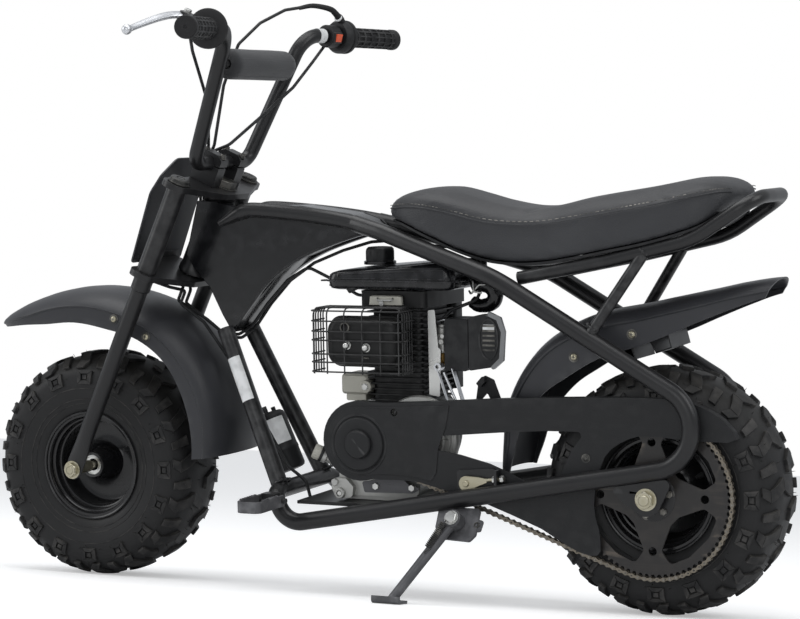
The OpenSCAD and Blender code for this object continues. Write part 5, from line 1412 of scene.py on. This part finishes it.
wind = [(558 + 28 * t / (math.tau * 7), 129 + 5.6 * math.cos(t), 150 + 5.6 * math.sin(t)) for t in np.arange(0, math.tau * 7, 0.5)]
piece("peg_springs", both(tube([p for p in wind if not 559 < p[0] < 585] or wind, 0.9, 8)), black_oxide)
print("peg teeth", len(notches))

# %% [markdown]
# ## Canister and blank labels
# The canister between the down tubes carries a label in the photo; here it is
# the same clean white patch with nothing on it. A label is a piece of a slightly
# larger cylinder, so it lies on the curve it is stuck to.

# %% Canister
can_at, can_len = along((602, 0, 176), (640, 0, 262)), 94.0
can = turned([(0.1, 0), (17, 0), (20.5, 1.4), (22.4, 5), (22.4, 30), (23, 31), (23, 35), (22.4, 36), (22.4, 84), (21, 89), (17, 92.4), (9, 93.4),
              (8.4, 94), (0.1, 94)], 48)
piece("canister_body", moved(can, can_at), plastic_black, smooth=40, replaces="canister")
ports = join(moved(turned([(3.4, 92), (3.4, 104), (2.2, 104), (0.1, 103)], 20), can_at @ Matrix.Translation((9, 0, 0))),
             moved(turned([(3.4, 92), (3.4, 100), (2.2, 100), (0.1, 99)], 20), can_at @ Matrix.Translation((-9, 4, 0))))
piece("canister_ports", ports, plastic_black)


def patch(frame_at, r, toward, spread, h0, h1):
    """A thin label wrapped on a round body, centred on the side that faces toward."""
    local = frame_at.inverted().to_3x3() @ Vector(toward)
    mid = math.atan2(local.y, local.x)
    arcs = [mid + spread * (k / 12 - 0.5) for k in range(13)]
    rings = [[(r * math.cos(a), r * math.sin(a), h) for a in arcs] + [((r - 0.5) * math.cos(a), (r - 0.5) * math.sin(a), h) for a in reversed(arcs)]
             for h in (h0, h1)]
    return moved(skin(rings), frame_at)


piece("canister_blank_label", patch(can_at, 22.75, (-0.35, 0.9, 0), 1.9, 42, 82), label_white, smooth=50)
tube_at = along((691, 39, 392), (583, 72, 157))
piece("down_tube_blank_label", patch(tube_at, 12.95, (-0.2, 1, 0), 1.7, 48, 118), label_white, smooth=50)
print("labels", 2)

# %% [markdown]
# ## Number plate
# The plate is a bent sheet with rounded top corners that stands in front of the
# clamps. It is drawn flat in width and height, and each point is then set
# forward by how high it is, which gives the bend.

# %% Plate and its bracket
plate_line = corners([(-73, 327), (-76, 440), (-58, 468), (-24, 494), (24, 494), (58, 468), (76, 440), (73, 327)], [5, 16, 20, 26, 26, 20, 16, 5])


def leaned(shape):
    return [(45 + (z - 325) * 0.08 + y, x, z) for x, y, z in shape[0]], shape[1]


piece("plate_face", leaned(slab(plate_line, 0, 2.6)), fender_grey, "fork", FORK, bevel=0.9, replaces="number_plate")
plate_rim = [(45 + (z - 325) * 0.08 + 3.0, v, z) for v, z in corners([(-66, 338), (-69, 438), (-53, 462), (-22, 486), (22, 486), (53, 462), (69, 438), (66, 338)], 12)]
piece("plate_bead", tube(plate_rim + plate_rim[:1], 1.0, 8), fender_grey, "fork", FORK)
flange = skin([[(u, v, w) for u, v in corners([(18.6, -60), (46, -58), (46, 58), (18.6, 60)], 4)] for w in (329, 331.8)])
fold = skin([[(44.6, v, w) for v, w in ((-58, 329), (58, 329), (58, 342), (-58, 342))], [(46.4, v, w) for v, w in ((-58, 329), (58, 329), (58, 342), (-58, 342))]])
piece("plate_bracket", join(flange, fold), satin_black, "fork", FORK, bevel=0.5)
plate_bolts = [moved(socket_bolt(4, 3), along((49 + 0.4, v, 352), (52, v, 352))) for v in (-44, 44)]
piece("plate_bolts", join(*plate_bolts), black_oxide, "fork", FORK, smooth=30)
print("plate width", 152)

# %% [markdown]
# ## Brake lever and switch
# The lever is cast alloy with a ball end, so a cut finger never meets an edge.
# Its radius changes point by point along one tube, squeezed flat.

# %% Lever and perch
def on_bar(v):
    """The bar's middle line at the width v."""
    t = (v - 122) / 209
    return Vector((3 - 49 * t, v, 725 + 18 * t))


perch_at = along(on_bar(191), on_bar(212))
perch = join(moved(turned([(11.3, 0), (14.6, 0), (15.2, 0.8), (15.2, 20), (14.6, 21), (11.3, 21)], 40), perch_at),
             skin([plan(-2, 40, 192, 211, z, 5) for z in (722, 738)]))
piece("lever_perch", perch, satin_black, "fork", FORK, bevel=1.0, replaces="brake_lever")
lever_path = smooth_path([(33, 198, 731), (38, 208, 731), (45, 224, 727), (49, 246, 720), (51.5, 270, 711.5), (53, 292, 703.5), (53, 306, 699)], 5)
lever_r = list(np.interp(np.arange(len(lever_path)) / (len(lever_path) - 1), [0, 0.12, 0.5, 0.8, 0.9, 0.96, 1], [8.5, 8.6, 7.4, 6.2, 5.8, 6.4, 6.0]))
lever_ball = moved(turned([(0.1, -7.6), (3, -7), (5.6, -5), (7.2, -2), (7.4, 0), (7.2, 2), (5.6, 5), (3, 7), (0.1, 7.6)], 28), Matrix.Translation((53, 309, 699)))
piece("lever_blade", join(tube(lever_path, lever_r, 24, flat=0.62), lever_ball), alloy, "fork", FORK, smooth=60, levels=1)
lever_screw = join(moved(prism(6, 5.6, 0, 5, 0.7), Matrix.Translation((32, 200, 738))), moved(prism(6, 5, 0, 4, 0.6), Matrix.Translation((32, 200, 716))),
                   moved(turned([(5.4, 0), (5.4, 9), (4, 12), (2.6, 13)], 24), along((36, 194, 728), (36, 184, 720))))
piece("lever_screws", lever_screw, zinc_bright, "fork", FORK, smooth=30)
print("lever points", len(lever_path))

# %% Kill switch rocker


def rocker_frame(angle):
    return grip_frame @ Matrix.Translation((0, 0, 155)) @ Matrix.Rotation(angle, 4, "Z")


back_local = grip_frame.inverted().to_3x3() @ Vector((-1, 0, 0.25))
rocker_angle = math.atan2(back_local.y, back_local.x)
bezel = moved(block((14, -8.6, -9), (19.6, 8.6, 9)), rocker_frame(rocker_angle))
rocker = moved(skin([[(19.4, -6.4, z) for z in (-6.8, 6.8)] + [(19.4, 6.4, z) for z in (6.8, -6.8)],
                     [(22.6, -6.0, z) for z in (-6.2, 6.2)] + [(20.6, 6.0, z) for z in (6.2, -6.2)]]), rocker_frame(rocker_angle))
piece("kill_switch_bezel", on_right(bezel), plastic_black, "fork", FORK, bevel=1.2)
piece("kill_switch_rocker", on_right(rocker), switch_red, "fork", FORK, bevel=0.8)
wrap = moved(turned([(11.0, 0), (11.45, 0), (11.45, 15), (11.0, 15)], 40), along(on_bar(150), on_bar(165)))
piece("bar_label", on_right(wrap), label_white, "fork", FORK, smooth=40)
print("rocker angle", round(math.degrees(rocker_angle)))

# %% [markdown]
# ## Cables
# Three cables leave the bars: throttle, rear brake and stop switch. They follow
# the same points as the solids, so each bend stays where the solid's is. The
# part on the fork and the part on the frame meet on the steering line.

# %% Routes on the fork
CUT_W = 296
throttle_route = [(-14, -199, 757), (0, -168, 772), (18, -146, 769), (42, -108, 750), (54, -68, 722), (58, -32, 684), (48, -14, 620), (26, -11, 530),
                  (31, -14, 484), (31, -79, 400), (30, -80, 314), (-8, -30, 308), (-24, -8, 308), (-24, -8, CUT_W)]
brake_route = [(34, 189, 726), (30, 150, 680), (22, 62, 600), (22, 12, 528), (31, 10, 484), (31, 73, 400), (30, 76, 314), (-8, 30, 308), (-24, 8, 308),
               (-24, 8, CUT_W)]
switch_route = [(-9, -178, 711), (-14, -150, 688), (-19, -106, 646), (-16, -50, 600), (-2, -3, 543), (22, 0, 520), (31, -3, 484), (31, -69, 400),
                (33, -70, 313), (10, -36, 310), (-14, 0, 310), (-14, 0, CUT_W)]


def eased(path):
    p = [Vector(q) for q in path]
    radii = [min(14, 0.4 * (b - a).length, 0.4 * (c - b).length) for a, b, c in zip(p, p[1:], p[2:])]
    return bends(path, radii, 12)


fork_cables = join(*[tube(eased(r), 2.5, 10) for r in (throttle_route, brake_route, switch_route)])
piece("cables_of_the_fork", fork_cables, plastic_black, "fork", FORK, smooth=60, replaces="cables_on_fork")
boot_path = smooth_path([(-15, -203, 754), (-6, -184, 766), (0, -168, 771.6), (18, -146, 768.6), (30, -128, 759)], 5)
boot_r = list(np.linspace(5.6, 3.2, len(boot_path)))
boot_r[2] = boot_r[3] = 6.4
piece("throttle_cable_boot", tube(boot_path, boot_r, 18), grip_rubber, "fork", FORK, smooth=60)
piece("throttle_cable_ring", moved(turned([(3.6, -1.4), (6.8, -1.4), (6.8, 1.4), (3.6, 1.4)], 24), along((-9, -190, 761), (-2, -172, 770))), label_white,
      "fork", FORK, bevel=0.3)
print("fork cables", 3)

# %% Routes on the frame
def from_fork(u, v, w):
    c, s = math.cos(RAKE), math.sin(RAKE)
    return (926 + u * c - w * s, v, 176 + u * s + w * c)


low = CUT_W - 0.3
throttle_run = [from_fork(-24, -8, low), from_fork(-24, -8, 286), (745, -8, 398), (714, -12, 374), (692, -14, 374), (668, -14, 390), (640, -14, 427),
                (606, -14, 463), (565, -14, 490), (516, -14, 509), (470, -16, 522), (436, -32, 524), (390, -38, 516), (304, -30, 512), (284, -10, 482),
                (288, 8, 440), (326, 16, 425), (340, 17, 412), (341.5, 17, 405.4)]
brake_run = [from_fork(-24, 8, low), from_fork(-24, 8, 286), (745, 8, 398), (712, 14, 360), (664, 18, 300), (632, 31, 250), (600, 35, 202),
             (588, 38, 186), (560, 36, 166), (556, 28, 133), (320, -60, 132), (210, -84, 160), (58, -87, 196)]
switch_run = [from_fork(-14, 0, low), from_fork(-14, 0, 286), (744, 0, 402), (716, -2, 380), (692, -5, 380), (670, -5, 392), (641, -5, 428),
              (606, -5, 464), (572, -8, 484), (540, -20, 466), (500, -30, 441), (461, -30, 440)]
frame_cables = join(*[tube(eased(r), 2.5, 10) for r in (throttle_run, brake_run, switch_run)])
piece("cables_of_the_frame", frame_cables, plastic_black, smooth=60, replaces="cables_on_frame")
print("frame cables", 3)

# %% [markdown]
# ## Camera and light
# The camera stands where the photographer stood: to the machine's left and
# ahead of it, a little above the seat, with a long lens. Its numbers come from
# fitting the wheels, fork and bars of the solids to the photograph. The light is
# a plain soft studio: a bright world, one large lamp above and a weaker one
# beside the camera, over a pale floor.

# %% Camera
YAW, PITCH, ROLL = math.radians(24.696), math.radians(-3.406), math.radians(-0.973)
look = Vector((math.sin(YAW) * math.cos(PITCH), -math.cos(YAW) * math.cos(PITCH), math.sin(PITCH)))
right = Vector((-math.cos(YAW), -math.sin(YAW), 0))
above = right.cross(look)
axis_x = math.cos(ROLL) * right + math.sin(ROLL) * above
axis_y = -math.sin(ROLL) * right + math.cos(ROLL) * above
lean_turn = Matrix.Rotation(-LEAN, 3, "X")
basis = Matrix([lean_turn @ axis_x, lean_turn @ axis_y, lean_turn @ -look]).transposed()
lens = bpy.data.cameras.new("photographer")
lens.sensor_width = 36
lens.lens = 2355.38 / 800 * 36
lens.shift_x = (400 - 415.32) / 800
lens.shift_y = (269.41 - 309.5) / 800
lens.clip_end = 50
camera = bpy.data.objects.new("photographer", lens)
camera.matrix_world = Matrix.Translation(PARKED @ Vector((-1057.2, 3148.8, 688.8))) @ basis.to_4x4()
bpy.context.collection.objects.link(camera)
bpy.context.scene.camera = camera
print("camera at", camera.matrix_world.translation.to_tuple(3))

# %% Floor, world and lamps
bpy.context.scene.view_settings.view_transform = "Standard"
bpy.ops.mesh.primitive_plane_add(size=30, location=(0, 0, -0.0005))
floor = bpy.context.object
floor.name = "studio_floor"
pale = bpy.data.materials.new("pale studio floor")
pale.use_nodes = True
tree = pale.node_tree
pale_shader = tree.nodes["Principled BSDF"]
soft_noise = node(tree, "ShaderNodeTexNoise", Scale=3.0)
tint = node(tree, "ShaderNodeMapRange", _0=soft_noise.outputs[0], _1=0.3, _2=0.7, _3=0.80, _4=0.84)
tree.links.new(tint.outputs[0], pale_shader.inputs["Base Color"])
pale_shader.inputs["Roughness"].default_value = 0.9
pale_shader.inputs["Emission Color"].default_value = (1, 1, 1, 1)
seen = node(tree, "ShaderNodeLightPath")
glow = node(tree, "ShaderNodeMath", {"operation": "MULTIPLY"}, _0=seen.outputs["Is Camera Ray"], _1=0.36)
tree.links.new(glow.outputs[0], pale_shader.inputs["Emission Strength"])
floor.data.materials.append(pale)

world = bpy.data.worlds.new("soft studio")
bpy.context.scene.world = world
world.use_nodes = True
tree = world.node_tree
tree.nodes.clear()
ray = node(tree, "ShaderNodeLightPath")
seen = node(tree, "ShaderNodeMath", {"operation": "MAXIMUM"}, _0=ray.outputs["Is Camera Ray"], _1=ray.outputs["Is Transmission Ray"])
soft = node(tree, "ShaderNodeBackground", Color=(0.86, 0.89, 0.93, 1), Strength=0.55)
white = node(tree, "ShaderNodeBackground", Color=(1, 1, 1, 1), Strength=1.0)
sky = node(tree, "ShaderNodeMixShader", _0=seen.outputs[0], _1=soft.outputs[0], _2=white.outputs[0])
node(tree, "ShaderNodeOutputWorld", Surface=sky.outputs[0])


def lamp(name, at, aim, size, power, color=(1, 1, 1)):
    data = bpy.data.lights.new(name, "AREA")
    data.shape, data.size, data.size_y = "RECTANGLE", size[0], size[1]
    data.energy, data.color = power, color
    ob = bpy.data.objects.new(name, data)
    ob.location = at
    ob.rotation_euler = (Vector(aim) - Vector(at)).to_track_quat("-Z", "Y").to_euler()
    bpy.context.collection.objects.link(ob)
    return ob


lamp("overhead softbox", (0.2, 0.5, 3.0), (0, 0, 0.4), (3.4, 1.8), 46)
lamp("front softbox", (2.8, 1.6, 1.6), (0.2, 0, 0.4), (1.6, 2.2), 26)
lamp("camera side fill", (-1.2, 3.6, 1.2), (0, 0, 0.4), (2.2, 1.6), 16)
lamp("rear rim light", (-2.6, 0.4, 2.0), (-0.2, 0, 0.4), (1.2, 1.8), 18)
print("lamps:", len(bpy.data.lights))

# %% [markdown]
# ## Pieces made
# Looks must not change the object's size; the last cell prints how many pieces
# were made.

# %% Print the count of pieces
print("pieces in all:", len(made))
